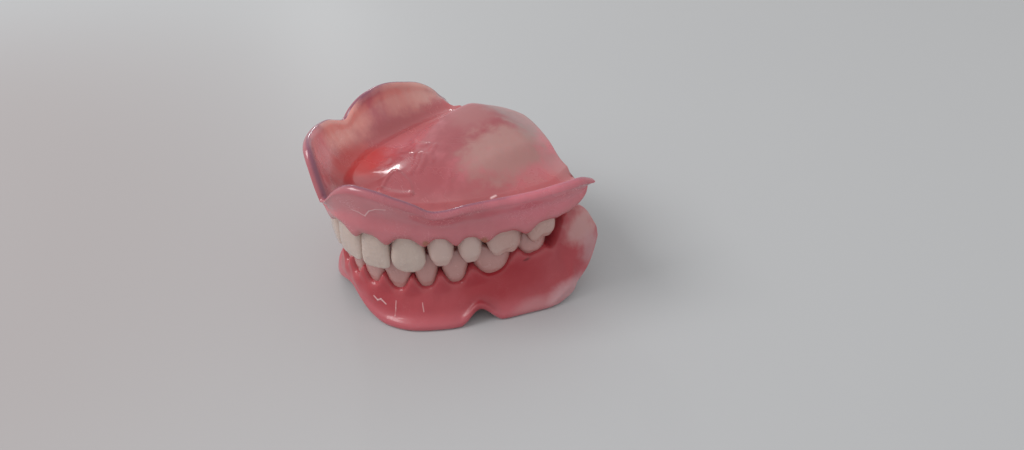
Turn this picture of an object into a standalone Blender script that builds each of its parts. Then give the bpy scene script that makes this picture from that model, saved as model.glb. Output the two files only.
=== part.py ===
"""Full denture: a complete upper plate resting in its bite on a complete lower plate.

Metres, +Z up. +X is the wearer's left, -Y the front. The set stands on the border lobes of the
lower plate. It is modelled with y = 0 at the foremost point of the dental arch, and the empty that
carries it then brings the origin under the middle of its bounding box. Each plate is a loft of
sections along the arch, and each tooth is a separate moulding seated in a socket of its own.
"""

import math

import bmesh
import bpy
import numpy as np
from mathutils import Vector

# Dental arch, the facial line of the upper teeth seen from above: half a superellipse, whose legs
# go on backward on a shallow inward curve
ARCH_HALF_WIDTH = 0.0296
ARCH_DEPTH = 0.0457
ARCH_SIDE_POWER = 2.35
ARCH_FRONT_POWER = 1.5
ARCH_LEG_LENGTH = 0.0140
ARCH_LEG_RADIUS = 0.0350
ARCH_SAMPLES = 900

# Bite
BITE_HEIGHT = 0.0183
BITE_GAP = 0.0004
BITE_CUSP = 0.0007
BITE_PITCH = 0.0060
BITE_FIRST_CUSP = 0.0013
BITE_CURVE_START = 0.0400
BITE_CURVE_RISE = 0.0022
BITE_CURVE_LENGTH = 0.0160
OVERJET = 0.0024
FRONT_OVERLAPS = (0.0016, 0.0021, 0.0029)
BUCCAL_OVERLAP = 0.0015
BUCCAL_OVERLAP_REACH = 0.0023
BUCCAL_OVERLAP_LENGTH = 0.0013

# Teeth: width along the arch, depth across it, and crown from gum line to bite, front to back
TOOTH_NAMES = (
    "central_incisor", "lateral_incisor", "canine", "first_premolar",
    "second_premolar", "first_molar", "second_molar",
)
UPPER_WIDTHS = (0.0088, 0.0078, 0.0087, 0.0072, 0.0068, 0.0102, 0.0093)
UPPER_DEPTHS = (0.0068, 0.0062, 0.0076, 0.0086, 0.0088, 0.0104, 0.0100)
UPPER_CROWNS = (0.0096, 0.0084, 0.0080, 0.0074, 0.0067, 0.0061, 0.0048)
LOWER_WIDTHS = (0.0054, 0.0060, 0.0072, 0.0068, 0.0076, 0.0114, 0.0094)
LOWER_DEPTHS = (0.0055, 0.0058, 0.0070, 0.0074, 0.0080, 0.0098, 0.0096)
LOWER_CROWNS = (0.0086, 0.0089, 0.0096, 0.0091, 0.0086, 0.0079, 0.0060)
TOOTH_CONTACT_GAP = 0.0003
SOCKET_DEPTH = 0.0017
SOCKET_CLEARANCE = 0.0003
CUSP_RELIEF = 0.0008
EMBRASURE_TAPER_SHARE = 0.30
TOOTH_RING_POINTS = 14
TOOTH_SQUARENESS = 2.6
ROOT_INSET_FACTOR = 1.5
TOOTH_SAG_SHARE = 0.5
SCALLOP_POWER = 1.3
FRONT_TEETH = 3

# Upper plate
UPPER_LEFT_END = 0.0662
UPPER_RIGHT_END = 0.0628
GUM_OVERLAP = 0.0011
UPPER_PAPILLA = 0.0018
UPPER_LABIAL_FLARE = 0.0012
UPPER_BUCCAL_FLARE = 0.0022
UPPER_FLARE_LENGTH = 0.0200
FLANGE_THICKNESS = 0.0024
TROUGH_FLOOR_FRONT = 0.0306
TROUGH_FLOOR_BACK = 0.0290
TROUGH_CENTRE = 0.0048
TROUGH_HALF_WIDTH = 0.0026
PALATE_THICKNESS = 0.0020
PALATE_FRONT = 0.0182
PALATE_BACK = 0.0545
PALATE_FRONT_HEIGHT = 0.0320
PALATE_TOP_HEIGHT = 0.0381
PALATE_TOP_SHARE = 0.75
PALATE_BACK_HEIGHT = 0.0352
PALATE_CREST_OFFSET = 0.0005
PALATE_SIDE_DROP = 0.0052
PALATE_SIDE_REACH = 0.0200
PALATE_FRONT_SHOULDER_SHARE = 0.95
PALATE_BACK_SHOULDER_SHARE = 0.43
BACK_EDGE_BOW = 0.0017
BACK_BOW_START = 0.0030
BACK_BOW_LENGTH = 0.0040
PALATE_WAY_SHARES = (0.14, 0.28, 0.42, 0.58, 0.78, 1.0)
BACK_EDGE_THICKNESS = 0.0013
TROUGH_FLOOR_END = 0.0300
TROUGH_INNER_LIP = 0.0006
TROUGH_END_LIP = 0.0011
UPPER_HEEL_HEIGHT = 0.0262
LIP_SHARE = 0.16
FLANGE_LEAST_RISE = 0.0005
TROUGH_SLOPE_RATE = 1.2
PALATE_SHOULDER_RATE = 1.5
BACK_BOW_POWER = 4
BACK_EDGE_START_SHARE = 0.94
PALATAL_GUM_SETBACK = 0.0012
PALATAL_SLOPE_SETBACK = 0.0026
SOCKET_BED_RISE = 0.0003

# Border of the upper flange: places from the midline outward and their heights, on each side. The
# labial frenum notch is at the midline, the buccal ones near 0.029.
LEFT_BORDER_PLACES = (
    0.0, 0.0021, 0.0043, 0.0065, 0.0087, 0.0112, 0.0140, 0.0170, 0.0200, 0.0240, 0.0277, 0.0307,
    0.0350, 0.0410, 0.0510, 0.0590, 0.0630, 0.0662,
)
LEFT_BORDER_HEIGHTS = (
    0.0318, 0.0331, 0.0355, 0.0378, 0.0395, 0.0406, 0.0406, 0.0400, 0.0388, 0.0369, 0.0346, 0.0345,
    0.0352, 0.0354, 0.0351, 0.0349, 0.0343, 0.0325,
)
RIGHT_BORDER_PLACES = (
    0.0, 0.0021, 0.0043, 0.0065, 0.0090, 0.0140, 0.0200, 0.0230, 0.0260, 0.0287, 0.0315, 0.0350,
    0.0390, 0.0440, 0.0500, 0.0560, 0.0590, 0.0610, 0.0628,
)
RIGHT_BORDER_HEIGHTS = (
    0.0318, 0.0353, 0.0392, 0.0411, 0.0415, 0.0412, 0.0404, 0.0396, 0.0379, 0.0368, 0.0385, 0.0399,
    0.0404, 0.0401, 0.0382, 0.0354, 0.0331, 0.0308, 0.0290,
)

# Upper section: the outer face (shares of the gum overlap and of the flange's height), the rolled
# border (shares of its half thickness outward and of its lip down) and the wall down to the trough
# (half thicknesses or trough half widths outward, share of the way down)
UPPER_FACE_SHARES = ((0.30, 0.00), (1.00, 0.12), (0.90, 0.42))
UPPER_FACE_TOP_SHARES = (0.75, 0.82)
UPPER_ROLL_SHARES = ((1.00, 0.90), (0.55, 0.20), (-0.25, 0.00), (-0.90, 0.60))
UPPER_WALL_TOP_SHARES = (-1.35, 0.35)
UPPER_WALL_FOOT_SHARES = (1.00, 0.82)

# Lower plate, measured along its own line, which lies inside the upper one by the overjet
LOWER_PLATE_END = 0.0660
LOWER_PAPILLA = 0.0024
LOWER_LABIAL_FLARE = 0.0012
LOWER_BUCCAL_FLARE = 0.0056
LOWER_LABIAL_NOTCH_DEPTH = 0.0048
LOWER_LABIAL_NOTCH_WIDTH = 0.0085
LOWER_BUCCAL_NOTCH_DEPTH = 0.0042
LOWER_BUCCAL_NOTCH_WIDTH = 0.0034
LOWER_BUCCAL_NOTCH_PLACE = 0.0338
LOWER_BUCCAL_NOTCH_HOLLOW = 0.0014
LOWER_HEEL_START = 0.0482
LOWER_HEEL_RISE = 0.0150
LOWER_HEEL_POWER = 2.2
LOWER_PAD_HEIGHT = 0.0230
LOWER_PAD_PLACE = 0.0582
LOWER_LINGUAL_BORDER = 0.0016
LOWER_CHANNEL_DROP = 0.0046
LOWER_LINGUAL_SETBACK = 0.0026
LOWER_PAD_NARROWING_SHARE = 0.15
LOWER_TIP_NARROWING_SHARE = 0.25
LOWER_PAD_DROP = 0.0045
PAD_SHELL_THICKNESS = 0.0024
LOBE_FLAT = 0.0006
LOWER_FLARE_LENGTH = 0.0200
LINGUAL_GUM_SETBACK = 0.0008
LINGUAL_GUM_DROP = 0.0006
LOWER_BED_RISE = 0.0002
SECTION_CENTRE_SHARE = 0.45

# Lower section: the outer face (shares of the gum overlap, of the way out to the border and of the
# way down), the two rolled borders (half thicknesses outward and up), the channel's walls (shares
# of the way in and up) and its roof (shares of the teeth's depth)
LOWER_FACE_SHARES = ((0.15, 0.00, 0.00), (0.80, 0.00, 0.14), (1.00, 0.18, 0.38), (1.00, 0.52, 0.66))
LOWER_OUTER_ROLL_SHARES = ((-0.2, 1.5), (0.0, 0.6), (-0.4, 0.0), (-1.3, 0.0), (-2.0, 0.9))
LOWER_LINGUAL_ROLL_SHARES = ((1.2, 0.8), (0.5, 0.0), (-0.5, 0.3), (-0.9, 1.2))
CHANNEL_OUTER_WALL_SHARES = (0.55, 0.62)
CHANNEL_ROOF_SHARES = (0.35, 0.75)
CHANNEL_INNER_WALL_SHARES = (1.6, 0.55)
LINGUAL_FACE_SHARES = (-0.2, 0.55)

# Mesh fineness
STATIONS_PER_TOOTH = 4
STATIONS_PAST_TEETH = 6

MERGE_DISTANCE = 0.00001
SHARP_ANGLE = 50.0

UPPER_ACRYLIC_COLOUR = (0.42, 0.12, 0.14, 1.0)
LOWER_ACRYLIC_COLOUR = (0.36, 0.05, 0.07, 1.0)
FRONT_TOOTH_COLOUR = (0.50, 0.45, 0.38, 1.0)
BACK_TOOTH_COLOUR = (0.40, 0.32, 0.28, 1.0)
ACRYLIC_ROUGHNESS = 0.22
TOOTH_ROUGHNESS = 0.28


def smoothstep(value):
    """Return the smooth ramp from 0 to 1 of a value clamped to that range."""
    value = min(max(value, 0.0), 1.0)
    return value * value * (3.0 - 2.0 * value)


def mix(first, second, share):
    """Return the value a share of the way from first to second."""
    return first + (second - first) * share


def squared(value):
    """Return a sine or cosine reshaped so that a circle drawn with it becomes a rounded square."""
    return math.copysign(abs(value) ** (2.0 / TOOTH_SQUARENESS), value)


def curve_through(places, heights, place):
    """Return the height at a place of the smooth curve through the given places and heights."""
    slopes = np.gradient(np.array(heights), np.array(places))
    index = min(max(int(np.searchsorted(places, place, side="right")) - 1, 0), len(places) - 2)
    span = places[index + 1] - places[index]
    share = min(max((place - places[index]) / span, 0.0), 1.0)
    rise = heights[index + 1] - heights[index]
    bend = (slopes[index] * span - rise) * (1.0 - share) + (rise - slopes[index + 1] * span) * share
    return heights[index] + rise * share + bend * share * (1.0 - share)


def notch(place, centre, width):
    """Return the rounded notch profile, 1 at its centre and falling off over its width."""
    return math.exp(-((place - centre) / width) ** 2)


class Arch:
    """A line around the dental arch, measured along its length from the midline."""

    def __init__(self, inset=0.0):
        angles = np.linspace(0.0, math.pi / 2.0, ARCH_SAMPLES)
        legs = np.linspace(0.0, ARCH_LEG_LENGTH, ARCH_SAMPLES // 4)[1:]
        x = np.concatenate([
            ARCH_HALF_WIDTH * np.sin(angles) ** (2 / ARCH_SIDE_POWER),
            ARCH_HALF_WIDTH - legs ** 2 / (2.0 * ARCH_LEG_RADIUS)])
        y = np.concatenate([
            ARCH_DEPTH * (1.0 - np.cos(angles) ** (2 / ARCH_FRONT_POWER)),
            ARCH_DEPTH + legs])
        x = np.concatenate([-x[:0:-1], x])
        y = np.concatenate([y[:0:-1], y])
        outline = np.stack([x, y], axis=1)
        tangents = self.tangents_of(outline)
        normals = np.stack([tangents[:, 1], -tangents[:, 0]], axis=1)
        self.points = outline - normals * inset
        self.normals = normals
        steps = np.hypot(*np.diff(self.points, axis=0).T)
        self.lengths = np.concatenate([[0.0], np.cumsum(steps)])
        self.lengths -= self.lengths[len(self.lengths) // 2]

    @staticmethod
    def tangents_of(points):
        """Return the unit direction of travel at each point."""
        tangents = np.gradient(points, axis=0)
        return tangents / np.linalg.norm(tangents, axis=1)[:, None]

    def at(self, place, outward=0.0, height=0.0):
        """Return the point at a place along the arch, moved outward and up."""
        x, y = (np.interp(place, self.lengths, self.points[:, axis]) for axis in (0, 1))
        normal = self.normal(place)
        return Vector((x + normal.x * outward, y + normal.y * outward, height))

    def normal(self, place):
        """Return the outward direction at a place along the arch."""
        values = [np.interp(place, self.lengths, self.normals[:, axis]) for axis in (0, 1)]
        return Vector((values[0], values[1], 0.0)).normalized()

    def locate(self, x, y):
        """Return the place along the arch nearest to a point, and the point's outward offset."""
        offsets = np.array([x, y]) - self.points
        index = int(np.argmin((offsets ** 2).sum(axis=1)))
        return self.lengths[index], float(offsets[index] @ self.normals[index])


UPPER_ARCH = Arch()
LOWER_ARCH = Arch(OVERJET)


def bite_level(place):
    """Return the height of the bite at a place along the upper arch, with its rise to the back."""
    past = max(0.0, abs(place) - BITE_CURVE_START) / BITE_CURVE_LENGTH
    return BITE_HEIGHT + BITE_CURVE_RISE * past ** 2


def bite_surface(x, y):
    """Return the height of the surface on which the cusps of both plates interlock."""
    place, outward = UPPER_ARCH.locate(x, y)
    phase = 2.0 * math.pi * (-outward - BITE_FIRST_CUSP) / BITE_PITCH
    hang = smoothstep((outward + BUCCAL_OVERLAP_REACH) / BUCCAL_OVERLAP_LENGTH)
    return bite_level(place) - BITE_CUSP * math.cos(phase) - BUCCAL_OVERLAP * hang


class ToothForm:
    """Outline of one kind of tooth at levels from its neck (0) to its tip (1)."""

    def __init__(self, levels, half_widths, facial_insets, depths, cusps):
        self.levels = levels
        self.half_widths = half_widths
        self.facial_insets = facial_insets
        self.depths = depths
        self.cusps = cusps


# Levels are shares of the crown, half widths shares of the width, insets metres, depths shares
INCISOR = ToothForm(
    (0.0, 0.30, 0.65, 0.92, 1.0), (0.39, 0.46, 0.50, 0.48, 0.38),
    (0.0004, 0.0000, 0.0000, 0.0003, 0.0006), (1.00, 0.84, 0.46, 0.24, 0.15), 0)
CANINE = ToothForm(
    (0.0, 0.30, 0.62, 0.88, 1.0), (0.38, 0.46, 0.50, 0.34, 0.14),
    (0.0004, 0.0000, 0.0000, 0.0005, 0.0009), (1.00, 0.84, 0.42, 0.22, 0.14), 0)
PREMOLAR = ToothForm(
    (0.0, 0.30, 0.62, 0.88), (0.40, 0.46, 0.50, 0.42),
    (0.0005, 0.0000, 0.0000, 0.0008), (0.90, 1.00, 0.98, 0.82), 1)
MOLAR = ToothForm(
    (0.0, 0.30, 0.62, 0.88), (0.43, 0.47, 0.50, 0.45),
    (0.0005, 0.0000, 0.0000, 0.0008), (0.92, 1.00, 0.98, 0.84), 2)
FORMS = (INCISOR, INCISOR, CANINE, PREMOLAR, PREMOLAR, MOLAR, MOLAR)
ROOT_SHARE = 0.90
OCCLUSAL_RING_SHARES = (0.66, 0.33)


class ToothRow:
    """The seven teeth of each side of one plate, set edge to edge along its arch."""

    def __init__(self, jaw, arch, widths, depths, crowns, points_down):
        self.jaw = jaw
        self.arch = arch
        self.widths = widths
        self.depths = depths
        self.crowns = crowns
        self.down = -1.0 if points_down else 1.0
        self.edges = np.concatenate([[0.0], np.cumsum(widths)])
        self.centres = (self.edges[:-1] + self.edges[1:]) / 2.0
        self.length = float(self.edges[-1])

    def tip_height(self, index):
        """Return the height of a tooth's tip or of the middle of its chewing face."""
        centre = self.arch.at(self.centres[index])
        level = bite_level(UPPER_ARCH.locate(centre.x, centre.y)[0])
        if self.down < 0.0 and index < FRONT_TEETH:
            return level - FRONT_OVERLAPS[index]
        return level

    def neck_height(self, index):
        """Return the height of a tooth's gum line at the middle of its facial side."""
        centre = self.arch.at(self.centres[index])
        level = bite_level(UPPER_ARCH.locate(centre.x, centre.y)[0])
        return level - self.down * self.crowns[index]

    def gum_height(self, place, papilla):
        """Return the height of the scalloped gum line at a place along the arch."""
        place = abs(place)
        necks = [self.neck_height(index) for index in range(len(self.widths))]
        level = float(np.interp(place, self.centres, necks))
        if place >= self.length:
            return level
        index = int(np.searchsorted(self.edges, place, side="right")) - 1
        share = (place - self.edges[index]) / self.widths[index]
        scallop = (1.0 - math.sin(math.pi * share)) ** SCALLOP_POWER
        fade = smoothstep((self.length - place) / self.widths[-1] * 2.0)
        return level + self.down * papilla * scallop * fade

    def depth_at(self, place):
        """Return how far the teeth reach inward at a place along the arch."""
        return float(np.interp(abs(place), self.centres, self.depths))

    def build(self, index, side, grow=0.0):
        """Return the mesh rings of one tooth, grown on all sides for a socket cutter."""
        form = FORMS[index]
        centre_place = side * self.centres[index]
        half = self.widths[index] / 2.0
        ends = [self.arch.at(centre_place + offset) for offset in (-half, half)]
        along = (ends[1] - ends[0]).normalized()
        outward = Vector((along.y, -along.x, 0.0))
        middle = (ends[0] + ends[1]) / 2.0
        sag = (self.arch.at(centre_place) - middle).dot(outward) * TOOTH_SAG_SHARE
        origin = middle + outward * sag
        neck = self.neck_height(index)
        tip = self.tip_height(index)
        width = self.widths[index] - TOOTH_CONTACT_GAP
        depth = self.depths[index]

        def ring(half_share, inset, depth_share, height, scale=1.0):
            reach = half_share * width + grow
            front = -inset + grow
            back = -inset - depth_share * depth - grow
            points = []
            for step in range(TOOTH_RING_POINTS):
                angle = 2.0 * math.pi * step / TOOTH_RING_POINTS
                across, sideways = squared(math.sin(angle)), squared(math.cos(angle))
                inner_share = (1.0 - across) / 2.0
                taper = 1.0 - EMBRASURE_TAPER_SHARE * inner_share * depth_share
                local_y = mix(mix(back, front, 0.5), mix(back, front, (across + 1.0) / 2.0), scale)
                local_x = sideways * reach * taper * scale
                point = origin + along * local_x + outward * local_y
                points.append(Vector((point.x, point.y, height)))
            return points

        root_height = neck - self.down * (SOCKET_DEPTH + grow)
        rings = [ring(form.half_widths[0] * ROOT_SHARE, form.facial_insets[0] * ROOT_INSET_FACTOR,
                      form.depths[0] * ROOT_SHARE, root_height)]
        for level, half_share, inset, share in zip(
                form.levels, form.half_widths, form.facial_insets, form.depths):
            rings.append(ring(half_share, inset, share, mix(neck, tip, level)))
        if form.cusps:
            for scale in OCCLUSAL_RING_SHARES:
                rings.append(ring(form.half_widths[-1], form.facial_insets[-1], form.depths[-1],
                                  tip, scale))
            for occlusal in rings[-1 - len(OCCLUSAL_RING_SHARES):]:
                self.seat_on_bite(occlusal, origin, along, width, form.cusps, grow)
        return rings

    def seat_on_bite(self, points, origin, along, width, cusps, grow):
        """Move an occlusal ring onto the bite surface, with relief between its cusps."""
        for point in points:
            share = (point - origin).dot(along) / width + 0.5
            hollow = 0.5 + 0.5 * math.cos(2.0 * math.pi * cusps * share)
            relief = BITE_GAP / 2.0 + CUSP_RELIEF * hollow
            point.z = bite_surface(point.x, point.y) - self.down * (relief - grow)


UPPER_ROW = ToothRow("upper", UPPER_ARCH, UPPER_WIDTHS, UPPER_DEPTHS, UPPER_CROWNS, True)
LOWER_ROW = ToothRow("lower", LOWER_ARCH, LOWER_WIDTHS, LOWER_DEPTHS, LOWER_CROWNS, False)


def stations(row, left_end, right_end):
    """Return the places of a plate's sections: evenly on each tooth, then to the plate's ends."""
    places = []
    for start, width in zip(row.edges, row.widths):
        step = width / STATIONS_PER_TOOTH
        places += [start + step * count for count in range(1, STATIONS_PER_TOOTH + 1)]
    shares = [(count + 1) / STATIONS_PAST_TEETH for count in range(STATIONS_PAST_TEETH)]
    left, right = (
        places + [mix(row.length, end, share) for share in shares] for end in (left_end, right_end))
    return [-place for place in reversed(right)] + [0.0] + left


def upper_border_height(place):
    """Return the height of the upper flange's border, with its frenum notches."""
    if place > 0.0:
        return curve_through(LEFT_BORDER_PLACES, LEFT_BORDER_HEIGHTS, place)
    return curve_through(RIGHT_BORDER_PLACES, RIGHT_BORDER_HEIGHTS, -place)


def palate_height(x, y):
    """Return the tissue side's height on the dome of the palate."""
    share = (y - PALATE_FRONT) / (PALATE_BACK - PALATE_FRONT)
    rise = smoothstep(share / PALATE_TOP_SHARE)
    height = mix(PALATE_FRONT_HEIGHT, PALATE_TOP_HEIGHT, rise)
    fall = smoothstep((share - PALATE_TOP_SHARE) / (1.0 - PALATE_TOP_SHARE))
    side = (x - PALATE_CREST_OFFSET) / PALATE_SIDE_REACH
    return mix(height, PALATE_BACK_HEIGHT, fall) - PALATE_SIDE_DROP * side ** 2


def upper_section(place):
    """Return one upper section: its tissue side out to the midline, and its polished side back."""
    length = abs(place)
    plate_end = UPPER_LEFT_END if place > 0.0 else UPPER_RIGHT_END
    past = max(0.0, length - UPPER_ROW.length) / (plate_end - UPPER_ROW.length)
    share = min(length, UPPER_ROW.length) + past * (UPPER_LEFT_END - UPPER_ROW.length)
    share /= UPPER_LEFT_END
    border = upper_border_height(place)
    end_fade = smoothstep(past)
    level = mix(UPPER_ROW.gum_height(place, 0.0), UPPER_HEEL_HEIGHT, end_fade)
    gum = mix(UPPER_ROW.gum_height(place, UPPER_PAPILLA), UPPER_HEEL_HEIGHT, end_fade)
    floor = mix(TROUGH_FLOOR_FRONT, TROUGH_FLOOR_BACK, smoothstep(share * TROUGH_SLOPE_RATE))
    floor = min(mix(floor, TROUGH_FLOOR_END, end_fade), border - FLANGE_LEAST_RISE)
    rise = border - level
    flare = mix(UPPER_LABIAL_FLARE, UPPER_BUCCAL_FLARE, smoothstep(length / UPPER_FLARE_LENGTH))
    half = FLANGE_THICKNESS / 2.0
    lip = min(half, LIP_SHARE * rise)
    outer = [(GUM_OVERLAP * out, level + up * rise if up else gum) for out, up in UPPER_FACE_SHARES]
    outer.append((flare + half * UPPER_FACE_TOP_SHARES[0], level + rise * UPPER_FACE_TOP_SHARES[1]))
    outer += [(flare + half * out, border - lip * down) for out, down in UPPER_ROLL_SHARES]
    wall_top, wall_foot = UPPER_WALL_TOP_SHARES, UPPER_WALL_FOOT_SHARES
    outer += [
        (flare + half * wall_top[0], mix(border, floor, wall_top[1])),
        (TROUGH_HALF_WIDTH * wall_foot[0] - TROUGH_CENTRE, mix(border, floor, wall_foot[1])),
        (-TROUGH_CENTRE, floor),
        (-TROUGH_CENTRE - TROUGH_HALF_WIDTH, floor + mix(TROUGH_INNER_LIP, TROUGH_END_LIP, end_fade)),
    ]
    bow = BACK_EDGE_BOW * share ** BACK_BOW_POWER

    def at(outward, height):
        point = UPPER_ARCH.at(place, outward, height)
        point.y += bow * smoothstep((-outward - BACK_BOW_START) / BACK_BOW_LENGTH)
        return point

    tissue = [at(outward, height) for outward, height in outer]
    foot = tissue[-1]
    middle = Vector((0.0, mix(PALATE_FRONT, PALATE_BACK, share), 0.0))
    fade = smoothstep(share * PALATE_SHOULDER_RATE)
    shoulder = mix(PALATE_FRONT_SHOULDER_SHARE, PALATE_BACK_SHOULDER_SHARE, fade)
    inner = []
    for way in PALATE_WAY_SHARES:
        point = foot.lerp(middle, way)
        point.y += bow * way * (1.0 - way)
        point.z = mix(foot.z, palate_height(point.x, point.y), smoothstep(way / shoulder))
        inner.append(point)
    thinning = smoothstep((share - BACK_EDGE_START_SHARE) / (1.0 - BACK_EDGE_START_SHARE))
    thickness = mix(PALATE_THICKNESS, BACK_EDGE_THICKNESS, thinning)
    polished = [point - Vector((0.0, 0.0, thickness)) for point in reversed(inner[1:])]
    depth = UPPER_ROW.depth_at(place)
    slope_height = mix(level, polished[-1].z, 0.5)
    polished.append(at(-depth - PALATAL_SLOPE_SETBACK, slope_height))
    polished.append(at(-depth - PALATAL_GUM_SETBACK, level + SOCKET_BED_RISE))
    polished.append(at(-depth / 2.0, gum + SOCKET_BED_RISE))
    return tissue + inner, polished


def lower_border_height(place):
    """Return the height of the lower outer border: flat lobes, frenum notches and rising heels."""
    length = abs(place)
    height = LOWER_LABIAL_NOTCH_DEPTH * notch(length, 0.0, LOWER_LABIAL_NOTCH_WIDTH)
    height += LOWER_BUCCAL_NOTCH_DEPTH * notch(
        length, LOWER_BUCCAL_NOTCH_PLACE, LOWER_BUCCAL_NOTCH_WIDTH)
    height -= LOBE_FLAT
    past = max(0.0, length - LOWER_HEEL_START) / (LOWER_PLATE_END - LOWER_HEEL_START)
    return max(0.0, height) + LOWER_HEEL_RISE * past ** LOWER_HEEL_POWER


def lower_section(place):
    """Return one closed lower section, from the outer gum line around the borders and back."""
    length = abs(place)
    end_fade = smoothstep((length - LOWER_ROW.length) / (LOWER_PAD_PLACE - LOWER_ROW.length))
    tip_fade = smoothstep((length - LOWER_PAD_PLACE) / (LOWER_PLATE_END - LOWER_PAD_PLACE))
    level, gum = (
        mix(LOWER_ROW.gum_height(place, papilla), LOWER_PAD_HEIGHT, end_fade) - LOWER_PAD_DROP * tip_fade
        for papilla in (0.0, LOWER_PAPILLA))
    border = lower_border_height(place)
    depth = LOWER_ROW.depth_at(place)
    flare = mix(LOWER_LABIAL_FLARE, LOWER_BUCCAL_FLARE, smoothstep(length / LOWER_FLARE_LENGTH))
    flare -= LOWER_BUCCAL_NOTCH_HOLLOW * notch(
        length, LOWER_BUCCAL_NOTCH_PLACE, LOWER_BUCCAL_NOTCH_WIDTH)
    half = FLANGE_THICKNESS / 2.0
    roof = level - mix(LOWER_CHANNEL_DROP, PAD_SHELL_THICKNESS, end_fade)
    lingual = mix(LOWER_LINGUAL_BORDER, border, end_fade)
    inward = -depth - LOWER_LINGUAL_SETBACK
    roof_start, roof_end = (-depth * share for share in CHANNEL_ROOF_SHARES)
    wall = CHANNEL_OUTER_WALL_SHARES
    profile = [
        (mix(GUM_OVERLAP * over, flare, out), mix(level, border, down) if down else gum)
        for over, out, down in LOWER_FACE_SHARES]
    profile += [(flare + half * out, border + half * up) for out, up in LOWER_OUTER_ROLL_SHARES]
    profile += [
        (mix(profile[-1][0], roof_start, wall[0]), mix(border, roof, wall[1])),
        (roof_start, roof),
        (roof_end, roof),
        (inward + half * CHANNEL_INNER_WALL_SHARES[0], mix(lingual, roof, CHANNEL_INNER_WALL_SHARES[1])),
    ]
    profile += [(inward + half * out, lingual + half * up) for out, up in LOWER_LINGUAL_ROLL_SHARES]
    profile += [
        (inward + half * LINGUAL_FACE_SHARES[0], mix(lingual, level, LINGUAL_FACE_SHARES[1])),
        (-depth - LINGUAL_GUM_SETBACK, level - LINGUAL_GUM_DROP),
        (-depth / 2.0, gum + LOWER_BED_RISE),
    ]
    centre = -depth * SECTION_CENTRE_SHARE
    narrow = 1.0 - LOWER_PAD_NARROWING_SHARE * end_fade ** 2 - LOWER_TIP_NARROWING_SHARE * tip_fade ** 2
    return [LOWER_ARCH.at(place, mix(centre, outward, narrow), height) for outward, height in profile]


def new_object(name, bm, material, collection):
    """Turn a bmesh into a smooth-shaded object of a collection."""
    bmesh.ops.remove_doubles(bm, verts=bm.verts, dist=MERGE_DISTANCE)
    bmesh.ops.recalc_face_normals(bm, faces=bm.faces)
    mesh = bpy.data.meshes.new(name)
    bm.to_mesh(mesh)
    bm.free()
    mesh.shade_smooth()
    mesh.set_sharp_from_angle(angle=math.radians(SHARP_ANGLE))
    if material:
        mesh.materials.append(material)
    thing = bpy.data.objects.new(name, mesh)
    collection.objects.link(thing)
    return thing


def skin(bm, first, second, closed):
    """Join two rings of vertices by a band of faces."""
    count = len(first)
    for index in range(count if closed else count - 1):
        following = (index + 1) % count
        bm.faces.new((first[index], first[following], second[following], second[index]))


def cap(bm, ring):
    """Close a ring with a fan around its middle."""
    middle = sum((vert.co for vert in ring), Vector()) / len(ring)
    centre = bm.verts.new(middle)
    for vert, following in zip(ring, ring[1:] + ring[:1]):
        bm.faces.new((vert, following, centre))


def build_tooth(row, index, side, name, material, collection, grow=0.0):
    """Loft one tooth, or the cutter of its socket when it is grown."""
    bm = bmesh.new()
    rings = [[bm.verts.new(point) for point in ring] for ring in row.build(index, side, grow)]
    for ring, following in zip(rings, rings[1:]):
        skin(bm, ring, following, True)
    cap(bm, rings[0])
    cap(bm, rings[-1])
    return new_object(name, bm, material, collection)


def build_upper_plate(material, collection):
    """Loft the upper plate out to the midline on both sides and close its back edge."""
    bm = bmesh.new()
    rings = []
    for place in stations(UPPER_ROW, UPPER_LEFT_END, UPPER_RIGHT_END):
        tissue, polished = upper_section(place)
        rings.append([[bm.verts.new(point) for point in side] for side in (tissue, polished)])
    for (tissue, polished), (next_tissue, next_polished) in zip(rings, rings[1:]):
        skin(bm, tissue, next_tissue, False)
        skin(bm, polished, next_polished, False)
        bm.faces.new((polished[-1], tissue[0], next_tissue[0], next_polished[-1]))
    for tissue, polished in (rings[0], rings[-1]):
        bm.faces.new(tissue + polished)
    return new_object("upper_base", bm, material, collection)


def build_lower_plate(material, collection):
    """Loft the lower plate from heel to heel and close both heels."""
    bm = bmesh.new()
    sections = [lower_section(place) for place in stations(LOWER_ROW, LOWER_PLATE_END, LOWER_PLATE_END)]
    rings = [[bm.verts.new(point) for point in section] for section in sections]
    for ring, following in zip(rings, rings[1:]):
        skin(bm, ring, following, True)
    for ring in (rings[0], rings[-1]):
        bm.faces.new(ring)
    return new_object("lower_base", bm, material, collection)


def cut_sockets(plate, cutters):
    """Cut the sockets of all the teeth of a row into their plate."""
    boolean = plate.modifiers.new("tooth_sockets", "BOOLEAN")
    boolean.operation = "DIFFERENCE"
    boolean.solver = "EXACT"
    boolean.operand_type = "COLLECTION"
    boolean.collection = cutters


def make_material(name, colour, roughness):
    """Return a plain plastic material."""
    material = bpy.data.materials.new(name)
    material.use_nodes = True
    shader = material.node_tree.nodes["Principled BSDF"]
    shader.inputs["Base Color"].default_value = colour
    shader.inputs["Roughness"].default_value = roughness
    shader.inputs["Metallic"].default_value = 0.0
    return material


def build_row(row, materials, parts, cutters):
    """Build the teeth of one plate and their socket cutters, and return the teeth."""
    teeth = []
    for side, side_name in ((1.0, "left"), (-1.0, "right")):
        for index, tooth_name in enumerate(TOOTH_NAMES):
            name = f"{row.jaw}_{side_name}_{tooth_name}"
            material = materials["front_teeth" if index < FRONT_TEETH else "back_teeth"]
            teeth.append(build_tooth(row, index, side, name, material, parts))
            cutter = build_tooth(
                row, index, side, name + "_socket", None, cutters, SOCKET_CLEARANCE)
            cutter.hide_render = True
            cutter.display_type = "WIRE"
    return teeth


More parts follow.
